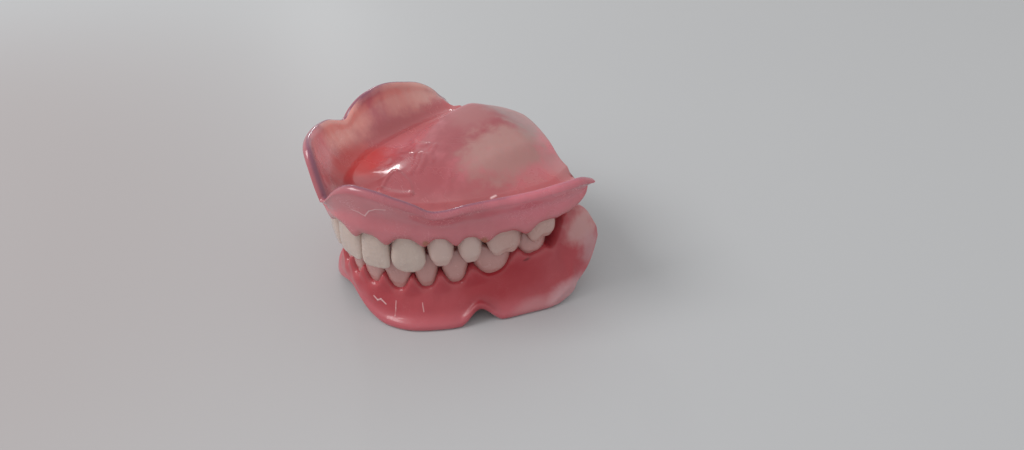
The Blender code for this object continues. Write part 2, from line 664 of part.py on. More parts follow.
def centre_on_ground(pieces):
    """Carry all pieces on one empty, with the origin under the middle of their box."""
    reach = [vert.co.y for piece in pieces for vert in piece.data.vertices]
    carrier = bpy.data.objects.new("denture", None)
    bpy.context.scene.collection.objects.link(carrier)
    carrier.location.y = -(min(reach) + max(reach)) / 2.0
    for thing in bpy.data.objects:
        if thing is not carrier:
            thing.parent = carrier


def main():
    """Build the whole denture."""
    for thing in list(bpy.data.objects):
        bpy.data.objects.remove(thing, do_unlink=True)
    parts = bpy.data.collections.new("full_denture")
    bpy.context.scene.collection.children.link(parts)
    materials = {
        "upper_base": make_material("upper_base_acrylic", UPPER_ACRYLIC_COLOUR, ACRYLIC_ROUGHNESS),
        "lower_base": make_material("lower_base_acrylic", LOWER_ACRYLIC_COLOUR, ACRYLIC_ROUGHNESS),
        "front_teeth": make_material("front_tooth_acrylic", FRONT_TOOTH_COLOUR, TOOTH_ROUGHNESS),
        "back_teeth": make_material("back_tooth_acrylic", BACK_TOOTH_COLOUR, TOOTH_ROUGHNESS),
    }
    pieces = []
    for row, build_plate in ((UPPER_ROW, build_upper_plate), (LOWER_ROW, build_lower_plate)):
        cutters = bpy.data.collections.new(f"{row.jaw}_socket_cutters")
        bpy.context.scene.collection.children.link(cutters)
        plate = build_plate(materials[f"{row.jaw}_base"], parts)
        pieces += [plate] + build_row(row, materials, parts, cutters)
        cut_sockets(plate, cutters)
    centre_on_ground(pieces)


main()
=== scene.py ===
"""Looks of a full denture: a complete upper plate lying in its bite on a complete lower plate.

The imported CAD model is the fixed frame. Its plates and teeth are replaced by finer ones, built from
the same arch, the same bite and the same borders, with the relief, wear and translucent acrylic
that the photograph shows.
"""

import logging
import math
from dataclasses import dataclass, field, replace
from enum import Enum
from functools import reduce

import bmesh
import bpy
import numpy as np
from bpy.types import Material, Mesh, Node, NodeOutputs, NodeSocket, NodeTree, Object
from mathutils import Matrix, Vector
from mathutils.bvhtree import BVHTree


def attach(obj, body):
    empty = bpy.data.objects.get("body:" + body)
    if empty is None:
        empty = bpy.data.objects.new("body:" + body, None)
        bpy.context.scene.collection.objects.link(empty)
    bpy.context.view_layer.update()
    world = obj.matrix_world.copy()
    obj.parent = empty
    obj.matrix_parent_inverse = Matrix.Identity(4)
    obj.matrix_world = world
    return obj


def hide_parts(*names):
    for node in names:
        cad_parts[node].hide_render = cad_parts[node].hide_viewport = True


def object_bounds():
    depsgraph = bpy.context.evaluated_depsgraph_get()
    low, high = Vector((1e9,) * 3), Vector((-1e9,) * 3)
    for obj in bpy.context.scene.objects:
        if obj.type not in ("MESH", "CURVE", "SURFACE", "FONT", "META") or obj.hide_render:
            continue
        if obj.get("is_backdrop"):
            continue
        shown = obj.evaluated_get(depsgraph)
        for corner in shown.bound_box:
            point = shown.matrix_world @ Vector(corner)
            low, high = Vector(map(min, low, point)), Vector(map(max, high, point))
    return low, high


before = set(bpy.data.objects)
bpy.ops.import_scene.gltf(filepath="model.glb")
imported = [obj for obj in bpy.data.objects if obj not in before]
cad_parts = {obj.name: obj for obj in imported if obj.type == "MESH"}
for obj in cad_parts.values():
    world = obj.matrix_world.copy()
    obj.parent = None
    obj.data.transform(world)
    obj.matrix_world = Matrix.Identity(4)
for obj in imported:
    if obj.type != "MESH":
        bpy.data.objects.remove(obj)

LOG = logging.getLogger("full_denture")
ROOT_BODY = "root"
MM = 0.001
WELD = 0.002 * MM
KEEP_IN_MARGIN = 0.01 * MM
LEAST_LENGTH = 1e-12
LEAST_REACH = 1e-7
Colour = tuple[float, float, float]
Spot = tuple[float, float, float]
Pairs = tuple[tuple[float, float], ...]
Value = np.ndarray | float
Socket = NodeSocket


class Jaw(Enum):
    """The two plates of the set."""

    UPPER = "upper"
    LOWER = "lower"


class Side(Enum):
    """The wearer's left or right, as the sign of X."""

    LEFT = 1.0
    RIGHT = -1.0


class ToothKind(Enum):
    """The four crown shapes of a denture's teeth."""

    INCISOR = "incisor"
    CANINE = "canine"
    PREMOLAR = "premolar"
    MOLAR = "molar"


def smoothstep(value: Value) -> Value:
    """Return the smooth ramp from 0 to 1 of values clamped to that range."""
    value = np.clip(value, 0.0, 1.0)
    return value * value * (3.0 - 2.0 * value)


def mix(first: Value, second: Value, share: Value) -> Value:
    """Return the value a share of the way from first to second."""
    return first + (second - first) * share


def millimetres(*sizes: float) -> tuple[float, ...]:
    """Return sizes given in millimetres as metres."""
    return tuple(size * MM for size in sizes)


def notch(place: np.ndarray, centre: float, width: float) -> np.ndarray:
    """Return a rounded notch profile, 1 at its centre and falling off over its width."""
    return np.exp(-((place - centre) / width) ** 2)


def spline(control: np.ndarray, counts: list[int], closed: bool) -> np.ndarray:
    """Draw a centripetal curve through the points of many sections at once.

    Args:
        control: Section points, an array of rows by points by 3.
        counts: How many steps each span between two points gets.
        closed: Whether the last point joins the first.

    Returns:
        The finer sections, an array of rows by steps by 3.
    """
    number = control.shape[1]
    spans = number if closed else number - 1
    made = []
    for span in range(spans):
        ids = [span - 1, span, span + 1, span + 2]
        ids = [i % number for i in ids] if closed else [min(max(i, 0), number - 1) for i in ids]
        p0, p1, p2, p3 = (control[:, i] for i in ids)
        if not closed and span == 0:
            p0 = 2.0 * p1 - p2
        if not closed and span == spans - 1:
            p3 = 2.0 * p2 - p1
        gaps = [np.sqrt(np.linalg.norm(b - a, axis=1) + LEAST_REACH)[:, None]
                for a, b in ((p0, p1), (p1, p2), (p2, p3))]
        t1 = gaps[0]
        t2 = t1 + gaps[1]
        t3 = t2 + gaps[2]
        for step in range(counts[span]):
            t = mix(t1, t2, step / counts[span])
            a1 = mix(p0, p1, t / t1)
            a2 = mix(p1, p2, (t - t1) / (t2 - t1))
            a3 = mix(p2, p3, (t - t2) / (t3 - t2))
            b1 = mix(a1, a2, t / t2)
            b2 = mix(a2, a3, (t - t1) / (t3 - t1))
            made.append(mix(b1, b2, (t - t1) / (t2 - t1)))
    if not closed:
        made.append(control[:, -1])
    return np.stack(made, axis=1)


@dataclass(frozen=True)
class Arch:
    """A line round the dental arch, measured along its length from the midline."""

    inset: float = 0.0
    half_width: float = 29.6 * MM
    depth: float = 45.7 * MM
    side_power: float = 2.35
    front_power: float = 1.5
    leg_length: float = 14.0 * MM
    leg_radius: float = 35.0 * MM
    front_y: float = -26.9491 * MM
    samples: int = 3600
    points: np.ndarray = field(init=False, repr=False)
    normals: np.ndarray = field(init=False, repr=False)
    lengths: np.ndarray = field(init=False, repr=False)

    def __post_init__(self) -> None:
        """Work out the line's points, outward directions and lengths."""
        angles = np.linspace(0.0, math.pi / 2.0, self.samples)
        legs = np.linspace(0.0, self.leg_length, self.samples // 4)[1:]
        x = np.concatenate([
            self.half_width * np.sin(angles) ** (2.0 / self.side_power),
            self.half_width - legs ** 2 / (2.0 * self.leg_radius)])
        y = np.concatenate([
            self.depth * (1.0 - np.cos(angles) ** (2.0 / self.front_power)),
            self.depth + legs])
        outline = np.stack([np.concatenate([-x[:0:-1], x]), np.concatenate([y[:0:-1], y])], axis=1)
        outline[:, 1] += self.front_y
        tangents = np.gradient(outline, axis=0)
        tangents /= np.linalg.norm(tangents, axis=1)[:, None]
        normals = np.stack([tangents[:, 1], -tangents[:, 0]], axis=1)
        points = outline - normals * self.inset
        lengths = np.concatenate([[0.0], np.cumsum(np.hypot(*np.diff(points, axis=0).T))])
        object.__setattr__(self, "points", points)
        object.__setattr__(self, "normals", normals)
        object.__setattr__(self, "lengths", lengths - lengths[len(lengths) // 2])

    def at(self, place: np.ndarray, outward: np.ndarray, height: np.ndarray) -> np.ndarray:
        """Return points at places along the arch, moved outward and up.

        Args:
            place: Distances along the arch from the midline.
            outward: Offsets away from the arch's inside.
            height: Heights over the ground.

        Returns:
            The points, with X, Y and Z along the last axis.
        """
        place, outward, height = np.broadcast_arrays(place, outward, height)
        x, y = (np.interp(place, self.lengths, self.points[:, i]) for i in (0, 1))
        nx, ny = (np.interp(place, self.lengths, self.normals[:, i]) for i in (0, 1))
        size = np.hypot(nx, ny)
        return np.stack([x + nx / size * outward, y + ny / size * outward, height], axis=-1)

    def locate(self, points: np.ndarray) -> tuple[np.ndarray, np.ndarray]:
        """Find where points lie along the arch.

        Args:
            points: X and Y of each point, along the last axis.

        Returns:
            The place nearest to each point, and the point's outward offset from it.
        """
        flat = points.reshape(-1, 2)
        places, offsets = np.empty(len(flat)), np.empty(len(flat))
        for index, point in enumerate(flat):
            away = point - self.points
            nearest = int(np.argmin((away ** 2).sum(axis=1)))
            places[index] = self.lengths[nearest]
            offsets[index] = away[nearest] @ self.normals[nearest]
        return places.reshape(points.shape[:-1]), offsets.reshape(points.shape[:-1])


@dataclass(frozen=True)
class Bite:
    """The surface on which the teeth of both plates meet."""

    arch: Arch
    height: float = 18.3 * MM
    gap: float = 0.4 * MM
    cusp: float = 0.7 * MM
    pitch: float = 6.0 * MM
    first_cusp: float = 1.3 * MM
    curve_start: float = 40.0 * MM
    curve_rise: float = 2.2 * MM
    curve_length: float = 16.0 * MM
    front_overlaps: tuple[float, ...] = (1.6 * MM, 2.1 * MM, 2.9 * MM)
    buccal_overlap: float = 1.5 * MM
    buccal_reach: float = 2.3 * MM
    buccal_length: float = 1.3 * MM
    cusp_relief: float = 0.8 * MM

    def level(self, place: Value) -> Value:
        """Return the bite's height at places along the arch, with its rise to the back."""
        past = np.maximum(0.0, np.abs(place) - self.curve_start) / self.curve_length
        return self.height + self.curve_rise * past ** 2

    def surface(self, points: np.ndarray) -> np.ndarray:
        """Return the height of the cusped bite surface.

        Args:
            points: X and Y of each point, along the last axis.

        Returns:
            The surface's height over each point.
        """
        place, outward = self.arch.locate(points)
        phase = 2.0 * math.pi * (-outward - self.first_cusp) / self.pitch
        hang = smoothstep((outward + self.buccal_reach) / self.buccal_length)
        return self.level(place) - self.cusp * np.cos(phase) - self.buccal_overlap * hang


@dataclass(frozen=True)
class CrownForm:
    """Profile curves of one kind of crown, from the middle of its root face to that of its tip.

    Each curve holds pairs of way (0 to 1) and value: level is the height (below 0 in the socket,
    0 at the gum, 1 at the tip), width and depth are shares of the tooth's own, inset is in mm.
    """

    level: Pairs
    width: Pairs
    depth: Pairs
    inset: Pairs
    cusps: int
    lobes: float
    squareness: float = 2.6


CROWN_FORMS = {
    ToothKind.INCISOR: CrownForm(
        level=((0.0, -1.0), (0.10, -1.0), (0.14, -0.94), (0.26, 0.0), (0.42, 0.30), (0.62, 0.65),
               (0.78, 0.90), (0.86, 0.975), (0.93, 1.0), (1.0, 1.0)),
        width=((0.0, 0.0), (0.10, 0.68), (0.14, 0.72), (0.26, 0.88), (0.42, 0.985), (0.62, 1.0),
               (0.78, 0.93), (0.86, 0.76), (0.93, 0.52), (1.0, 0.0)),
        depth=((0.0, 0.0), (0.10, 0.86), (0.14, 0.90), (0.26, 1.0), (0.42, 0.84), (0.62, 0.46),
               (0.78, 0.25), (0.86, 0.19), (0.93, 0.13), (1.0, 0.0)),
        inset=((0.0, 0.60), (0.14, 0.60), (0.26, 0.40), (0.42, 0.02), (0.62, 0.02), (0.78, 0.22),
               (0.86, 0.36), (0.93, 0.52), (1.0, 0.60)),
        cusps=0, lobes=2.0),
    ToothKind.CANINE: CrownForm(
        level=((0.0, -1.0), (0.10, -1.0), (0.14, -0.94), (0.26, 0.0), (0.42, 0.30), (0.60, 0.62),
               (0.76, 0.86), (0.86, 0.965), (0.93, 1.0), (1.0, 1.0)),
        width=((0.0, 0.0), (0.10, 0.66), (0.14, 0.68), (0.26, 0.76), (0.42, 0.92), (0.60, 1.0),
               (0.76, 0.82), (0.86, 0.56), (0.93, 0.34), (1.0, 0.0)),
        depth=((0.0, 0.0), (0.10, 0.86), (0.14, 0.90), (0.26, 1.0), (0.42, 0.84), (0.60, 0.43),
               (0.76, 0.25), (0.86, 0.19), (0.93, 0.13), (1.0, 0.0)),
        inset=((0.0, 0.60), (0.14, 0.60), (0.26, 0.40), (0.42, 0.02), (0.60, 0.02), (0.76, 0.30),
               (0.86, 0.58), (0.93, 0.80), (1.0, 0.90)),
        cusps=0, lobes=1.0),
    ToothKind.PREMOLAR: CrownForm(
        level=((0.0, -1.0), (0.10, -1.0), (0.14, -0.94), (0.24, 0.0), (0.36, 0.30), (0.48, 0.62),
               (0.60, 0.88), (0.68, 0.985), (0.74, 1.0), (1.0, 1.0)),
        width=((0.0, 0.0), (0.10, 0.70), (0.14, 0.72), (0.24, 0.80), (0.36, 0.92), (0.48, 1.0),
               (0.60, 0.88), (0.68, 0.72), (0.74, 0.62), (1.0, 0.0)),
        depth=((0.0, 0.0), (0.10, 0.78), (0.14, 0.81), (0.24, 0.90), (0.36, 1.0), (0.48, 0.99),
               (0.60, 0.86), (0.68, 0.72), (0.74, 0.62), (1.0, 0.0)),
        inset=((0.0, 0.75), (0.14, 0.75), (0.24, 0.50), (0.36, 0.02), (0.48, 0.02), (0.60, 0.55),
               (0.68, 0.95), (0.74, 1.25), (1.0, 1.25)),
        cusps=1, lobes=1.0),
    ToothKind.MOLAR: CrownForm(
        level=((0.0, -1.0), (0.10, -1.0), (0.14, -0.94), (0.24, 0.0), (0.36, 0.30), (0.48, 0.62),
               (0.60, 0.88), (0.67, 0.985), (0.73, 1.0), (1.0, 1.0)),
        width=((0.0, 0.0), (0.10, 0.76), (0.14, 0.78), (0.24, 0.86), (0.36, 0.95), (0.48, 1.0),
               (0.60, 0.92), (0.67, 0.80), (0.73, 0.70), (1.0, 0.0)),
        depth=((0.0, 0.0), (0.10, 0.80), (0.14, 0.83), (0.24, 0.92), (0.36, 1.0), (0.48, 0.99),
               (0.60, 0.88), (0.67, 0.77), (0.73, 0.68), (1.0, 0.0)),
        inset=((0.0, 0.75), (0.14, 0.75), (0.24, 0.50), (0.36, 0.02), (0.48, 0.02), (0.60, 0.55),
               (0.67, 0.90), (0.73, 1.20), (1.0, 1.20)),
        cusps=2, lobes=2.0),
}


class TreeWriter:
    """Adds nodes and links to a node tree in short lines."""

    def __init__(self, tree: NodeTree) -> None:
        """Keep the tree that is written to."""
        self.tree = tree

    def input(self, name: str, kind: str, value: object = None) -> None:
        """Add a named input socket.

        Args:
            name: The socket's name.
            kind: Its type name.
            value: Its default value.
        """
        socket = self.tree.interface.new_socket(name, in_out="INPUT", socket_type=kind)
        if value is not None:
            socket.default_value = value

    def output(self, name: str, kind: str) -> None:
        """Add a named output socket."""
        self.tree.interface.new_socket(name, in_out="OUTPUT", socket_type=kind)

    def node(self, kind: str, inputs: dict | None = None, **settings: object) -> Node:
        """Add a node.

        Args:
            kind: The node's type name.
            inputs: Values or output sockets by the name or number of the node's input.
            settings: The node's own properties.

        Returns:
            The new node.
        """
        made = self.tree.nodes.new(kind)
        for name, value in settings.items():
            setattr(made, name, value)
        for name, value in (inputs or {}).items():
            if isinstance(value, Socket):
                self.tree.links.new(value, made.inputs[name])
            else:
                made.inputs[name].default_value = value
        return made

    def math(self, operation: str, *values: object, clamp: bool = False) -> Socket:
        """Add a math node.

        Args:
            operation: The node's operation.
            values: Its inputs, numbers or sockets.
            clamp: Whether the result is kept between 0 and 1.

        Returns:
            The socket with the result.
        """
        made = self.node("ShaderNodeMath", dict(enumerate(values)), operation=operation)
        made.use_clamp = clamp
        return made.outputs[0]

    def product(self, *values: object) -> Socket:
        """Multiply two or more values, from the first on, and return the result socket."""
        return reduce(lambda first, second: self.math("MULTIPLY", first, second), values)

    def vectors(self, operation: str, inputs: dict) -> NodeOutputs:
        """Add a vector math node and return its outputs."""
        return self.node("ShaderNodeVectorMath", inputs, operation=operation).outputs

    def curve(self, points: Pairs, way: Socket, low: float, high: float) -> Socket:
        """Add a profile curve.

        Args:
            points: Pairs of way and value.
            way: The socket that runs from 0 to 1 along the curve.
            low: The least value that the curve can take.
            high: The greatest value.

        Returns:
            The socket with the value on the curve.
        """
        made = self.node("ShaderNodeFloatCurve", {"Value": way})
        line = made.mapping.curves[0]
        for index, (x, y) in enumerate(points):
            share = (y - low) / (high - low)
            if index in (0, len(points) - 1):
                line.points[0 if index == 0 else -1].location = (x, share)
            else:
                line.points.new(x, share)
        made.mapping.update()
        scaled = self.product(made.outputs[0], high - low)
        return self.math("ADD", scaled, low)


def squared(writer: TreeWriter, value: Socket, power: Socket) -> Socket:
    """Return a sine or cosine socket reshaped so that a circle becomes a rounded square."""
    size = writer.math("POWER", writer.math("ABSOLUTE", value), power)
    return writer.product(size, writer.math("SIGN", value))


@dataclass
class CrownTree:
    """Geometry node tree that makes one kind of crown from its sizes, in the tooth's own axes.

    X runs along the arch, Y outward from its facial line, and Z holds the level: below 0 in the
    socket, 0 at the gum line and 1 at the tip.
    """

    kind: ToothKind
    width: float = 8.0 * MM
    depth: float = 8.0 * MM
    inward_taper: float = 0.30
    lobe_depth: float = 0.1 * MM
    greatest_inset: float = 2.0
    around: int = 49
    levels: int = 46

    def build(self) -> NodeTree:
        """Build the tree of this kind of crown.

        Returns:
            The tree, whose inputs are the crown's sizes and material.
        """
        form = CROWN_FORMS[self.kind]
        tree = bpy.data.node_groups.new(f"{self.kind.value}_crown", "GeometryNodeTree")
        tree.is_modifier = True
        pen = TreeWriter(tree)
        pen.input("Geometry", "NodeSocketGeometry")
        pen.input("Width", "NodeSocketFloat", self.width)
        pen.input("Depth", "NodeSocketFloat", self.depth)
        pen.input("Inward Taper", "NodeSocketFloat", self.inward_taper)
        pen.input("Squareness", "NodeSocketFloat", form.squareness)
        pen.input("Lobe Depth", "NodeSocketFloat", self.lobe_depth)
        pen.input("Material", "NodeSocketMaterial")
        pen.output("Geometry", "NodeSocketGeometry")
        given = pen.node("NodeGroupInput").outputs
        sheet = pen.node("GeometryNodeMeshGrid", {
            "Size X": 1.0, "Size Y": 1.0, "Vertices X": self.around, "Vertices Y": self.levels})
        spot = pen.node("ShaderNodeSeparateXYZ", {0: pen.node("GeometryNodeInputPosition").outputs[0]})
        turn = pen.product(pen.math("ADD", spot.outputs[0], 0.5), 2.0 * math.pi)
        way = pen.math("ADD", spot.outputs[1], 0.5, clamp=True)
        power = pen.math("DIVIDE", 2.0, given["Squareness"])
        across = squared(pen, pen.math("SINE", turn), power)
        sideways = squared(pen, pen.math("COSINE", turn), power)
        width = pen.product(pen.curve(form.width, way, 0.0, 1.0), 0.5)
        depth = pen.curve(form.depth, way, 0.0, 1.0)
        inset = pen.product(pen.curve(form.inset, way, 0.0, self.greatest_inset), MM)
        level = pen.curve(form.level, way, -1.0, 1.0)
        inner = pen.product(pen.math("SUBTRACT", 1.0, across), 0.5)
        taper = pen.product(given["Inward Taper"], inner, depth)
        along = pen.product(sideways, width, given["Width"], pen.math("SUBTRACT", 1.0, taper))
        outward = pen.product(inner, depth, given["Depth"], -1.0)
        outward = pen.math("SUBTRACT", outward, inset)
        lobe = pen.math("COSINE", pen.product(sideways, math.pi * form.lobes))
        facial = pen.product(pen.math("SUBTRACT", 1.0, inner), pen.math("MAXIMUM", level, 0.0))
        lobe = pen.product(lobe, facial, given["Lobe Depth"])
        outward = pen.math("SUBTRACT", outward, pen.math("ABSOLUTE", lobe))
        place = pen.node("ShaderNodeCombineXYZ", {0: along, 1: outward, 2: level})
        moved = pen.node("GeometryNodeSetPosition", {
            "Geometry": sheet.outputs["Mesh"], "Position": place.outputs[0]})
        noted = pen.node("GeometryNodeStoreNamedAttribute", {
            "Geometry": moved.outputs[0], "Name": "crown_level", "Value": level},
            data_type="FLOAT", domain="POINT")
        noted = pen.node("GeometryNodeStoreNamedAttribute", {
            "Geometry": noted.outputs[0], "Name": "crown_side", "Value": pen.math("ABSOLUTE", sideways)},
            data_type="FLOAT", domain="POINT")
        welded = pen.node("GeometryNodeMergeByDistance", {
            "Geometry": noted.outputs[0], "Distance": WELD})
        real = pen.node("GeometryNodeRealizeInstances", {"Geometry": welded.outputs[0]})
        dressed = pen.node("GeometryNodeSetMaterial", {
            "Geometry": real.outputs[0], "Material": given["Material"]})
        pen.node("NodeGroupOutput", {"Geometry": dressed.outputs[0]})
        return tree


def run_tree(thing: Object, tree: NodeTree, values: dict[str, object]) -> None:
    """Run a geometry node tree on an object once and keep the result as its plain mesh.

    Args:
        thing: The object whose mesh the tree reads and replaces.
        tree: The tree to run.
        values: Its input values by name.
    """
    modifier = thing.modifiers.new(tree.name, "NODES")
    modifier.node_group = tree
    for item in tree.interface.items_tree:
        if item.item_type == "SOCKET" and item.in_out == "INPUT" and item.name in values:
            modifier[item.identifier] = values[item.name]
    thing.update_tag()
    bpy.context.view_layer.update()
    seen = thing.evaluated_get(bpy.context.evaluated_depsgraph_get())
    plain = bpy.data.meshes.new_from_object(seen)
    thing.modifiers.remove(modifier)
    old, thing.data = thing.data, plain
    plain.name = thing.name
    bpy.data.meshes.remove(old)


def new_piece(name: str, mesh: Mesh) -> Object:
    """Link a new object at the origin.

    Args:
        name: The object's name.
        mesh: Its mesh.

    Returns:
        The object.
    """
    thing = bpy.data.objects.new(name, mesh)
    bpy.context.scene.collection.objects.link(thing)
    return thing


def finish_piece(piece: Object, node: str) -> None:
    """Let a piece ride on the body and stand for its CAD node, and report it.

    Args:
        piece: The piece.
        node: The CAD node that it stands for.
    """
    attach(piece, ROOT_BODY)
    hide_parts(node)
    LOG.info("%s: %d faces, stands for %s", piece.name, len(piece.data.polygons), node)


def keep_inside(piece: Object, box: list[list[float]]) -> None:
    """Press a piece's few overshooting points back onto the faces of the CAD model's box.

    Args:
        piece: The piece.
        box: The box's low and high corners.
    """
    spots = np.empty(len(piece.data.vertices) * 3)
    piece.data.vertices.foreach_get("co", spots)
    low = np.array(box[0]) + [KEEP_IN_MARGIN, KEEP_IN_MARGIN, 0.0]
    high = np.array(box[1]) - KEEP_IN_MARGIN
    inside = np.clip(spots.reshape(-1, 3), low, high)
    piece.data.vertices.foreach_set("co", inside.ravel())
    piece.data.update()


TOOTH_NAMES = ("central_incisor", "lateral_incisor", "canine", "first_premolar",
               "second_premolar", "first_molar", "second_molar")
TOOTH_KINDS = (ToothKind.INCISOR, ToothKind.INCISOR, ToothKind.CANINE, ToothKind.PREMOLAR,
               ToothKind.PREMOLAR, ToothKind.MOLAR, ToothKind.MOLAR)
FRONT_TEETH = 3


@dataclass
class ToothRow:
    """The teeth of one plate, set edge to edge along its arch on both sides."""

    jaw: Jaw
    arch: Arch
    bite: Bite
    widths: tuple[float, ...]
    depths: tuple[float, ...]
    crowns: tuple[float, ...]
    contact_gap: float = 0.10 * MM
    socket_depth: float = 1.7 * MM
    fissure_depth: float = 0.35 * MM
    long_fissure: tuple[float, float] = (0.50, 0.10)
    cross_fissure: tuple[float, float, float] = (0.02, 0.06, 0.6)
    fissure_ends: tuple[float, float] = (0.46, 0.12)
    lobe_depth: float = 0.10 * MM
    scallop_sharpness: float = 1.9
    edges: np.ndarray = field(init=False)
    centres: np.ndarray = field(init=False)

    def __post_init__(self) -> None:
        """Work out where each tooth starts and where its middle is."""
        self.edges = np.concatenate([[0.0], np.cumsum(self.widths)])
        self.centres = (self.edges[:-1] + self.edges[1:]) / 2.0

    @property
    def crown_sign(self) -> float:
        """Return 1 where the crowns point up and -1 where they point down."""
        return 1.0 if self.jaw is Jaw.LOWER else -1.0

    @property
    def length(self) -> float:
        """Return how far the teeth reach along the arch on each side."""
        return float(self.edges[-1])

    def width(self, index: int) -> float:
        """Return a crown's width, which at the midline leaves no gap."""
        return self.widths[index] - (self.contact_gap if index else 0.0)

    def middle_level(self, index: int) -> float:
        """Return the bite's height over the middle of a tooth."""
        spot = self.arch.at(self.centres[index], 0.0, 0.0)[:2]
        return float(self.bite.level(self.bite.arch.locate(spot)[0]))

    def tip_height(self, index: int) -> float:
        """Return the height of a tooth's tip or of the middle of its chewing face."""
        overlaps = self.jaw is Jaw.UPPER and index < FRONT_TEETH
        return self.middle_level(index) - (self.bite.front_overlaps[index] if overlaps else 0.0)

    def neck_height(self, index: int) -> float:
        """Return the height of a tooth's gum line at the middle of its facial side."""
        return self.middle_level(index) - self.crown_sign * self.crowns[index]

    def gum_height(self, place: np.ndarray, papilla: float) -> np.ndarray:
        """Return the height of the scalloped gum line at places along the arch.

        Args:
            place: Distances along the arch.
            papilla: How far the gum climbs between two teeth.

        Returns:
            The gum line's height at each place.
        """
        place = np.abs(place)
        necks = [self.neck_height(index) for index in range(len(self.widths))]
        level = np.interp(place, self.centres, necks)
        scallop = (0.5 + 0.5 * np.cos(2.0 * math.pi * self.share_at(place))) ** self.scallop_sharpness
        fade = smoothstep((self.length - place) / self.widths[-1] * 2.0)
        return level + self.crown_sign * papilla * scallop * fade

    def share_at(self, place: np.ndarray) -> np.ndarray:
        """Say how far across their tooth places along the arch lie.

        Args:
            place: Distances from the midline, none below 0.

        Returns:
            The way across the tooth at each place, from 0 to 1.
        """
        index = np.clip(np.searchsorted(self.edges, place, side="right") - 1, 0, len(self.widths) - 1)
        share = (place - self.edges[index]) / np.array(self.widths)[index]
        return np.clip(share, 0.0, 1.0)

    def eminence(self, place: np.ndarray) -> np.ndarray:
        """Return the swell of the gum over each root, 1 over its middle and 0 between two."""
        place = np.abs(place)
        return np.where(place < self.length, np.sin(math.pi * self.share_at(place)) ** 2, 0.0)

    def depth_at(self, place: np.ndarray) -> np.ndarray:
        """Return how far the teeth reach inward at places along the arch."""
        return np.interp(np.abs(place), self.centres, self.depths)

    def build(self, trees: dict[ToothKind, NodeTree],
              materials: dict[str, Material]) -> list[Object]:
        """Build and dress every tooth of the row.

        Args:
            trees: The crown tree of each kind of tooth.
            materials: The materials by name.

        Returns:
            The teeth.
        """
        teeth = []
        for side in Side:
            for index, name in enumerate(TOOTH_NAMES):
                node = f"{self.jaw.value}_{side.name.lower()}_{name}"
                place = "front" if index < FRONT_TEETH else "back"
                tooth = self.build_tooth(
                    index, side, node, trees[TOOTH_KINDS[index]],
                    materials[f"{self.jaw.value}_{place}_tooth"])
                finish_piece(tooth, node)
                teeth.append(tooth)
        return teeth

    def build_tooth(self, index: int, side: Side, node: str, tree: NodeTree,
                    material: Material) -> Object:
        """Build one tooth and set it in the arch.

        Args:
            index: The tooth's number from the midline.
            side: The side of the mouth.
            node: The CAD node it stands for.
            tree: The tree that makes its crown.
            material: Its material.

        Returns:
            The tooth, in its place.
        """
        piece = new_piece(f"{node}_crown", bpy.data.meshes.new(node))
        form = CROWN_FORMS[TOOTH_KINDS[index]]
        run_tree(piece, tree, {
            "Width": self.width(index), "Depth": self.depths[index],
            "Lobe Depth": self.lobe_depth, "Material": material})
        mesh = piece.data
        local = np.empty(len(mesh.vertices) * 3)
        mesh.vertices.foreach_get("co", local)
        local = local.reshape(-1, 3)
        centre, half = side.value * self.centres[index], self.widths[index] / 2.0
        ends = self.arch.at(np.array([centre - half, centre + half]), 0.0, 0.0)[:, :2]
        along = (ends[1] - ends[0]) / np.linalg.norm(ends[1] - ends[0])
        outward = np.array([along[1], -along[0]])
        middle = ends.mean(axis=0)
        sag = (self.arch.at(centre, 0.0, 0.0)[:2] - middle) @ outward * 0.5
        flat = middle + outward * sag + local[:, :1] * along + local[:, 1:2] * outward
        neck, tip = self.neck_height(index), self.tip_height(index)
        target = np.full(len(flat), tip)
        if form.cusps:
            share = local[:, 0] / self.width(index) + 0.5
            hollow = 0.5 + 0.5 * np.cos(2.0 * math.pi * form.cusps * share)
            groove = self.fissure(local, index)
            relief = self.bite.gap / 2.0 + self.bite.cusp_relief * hollow + groove
            target = self.bite.surface(flat) - self.crown_sign * relief
        level = local[:, 2]
        height = np.where(level > 0.0, mix(neck, target, level),
                          neck + self.crown_sign * self.socket_depth * level)
        placed = np.column_stack([flat, height])
        mesh.vertices.foreach_set("co", placed.ravel())
        close_surface(mesh)
        mesh.shade_smooth()
        return piece

    def fissure(self, local: np.ndarray, index: int) -> np.ndarray:
        """Return the depth of the grooves in a chewing face.

        Args:
            local: Points in the tooth's own axes, an array of rows by 3.
            index: The tooth's number from the midline.

        Returns:
            The grooves' depth at each point.
        """
        width, depth = self.widths[index], self.depths[index]
        (line, line_width), (end, fade) = self.long_fissure, self.fissure_ends
        cross, cross_width, cross_share = self.cross_fissure
        lengthwise = np.exp(-((local[:, 1] + line * depth) / (line_width * depth)) ** 2)
        crosswise = np.exp(-((np.abs(local[:, 0]) - cross * width) / (cross_width * width)) ** 2)
        ends = smoothstep((end * width - np.abs(local[:, 0])) / (fade * width))
        return self.fissure_depth * np.maximum(lengthwise * ends, cross_share * crosswise)


def close_surface(mesh: Mesh) -> None:
    """Weld a mesh's doubles and turn its faces outward.

    Args:
        mesh: The mesh, which is changed in place.
    """
    made = bmesh.new()
    made.from_mesh(mesh)
    bmesh.ops.remove_doubles(made, verts=made.verts, dist=WELD)
    bmesh.ops.recalc_face_normals(made, faces=made.faces)
    made.to_mesh(mesh)
    made.free()


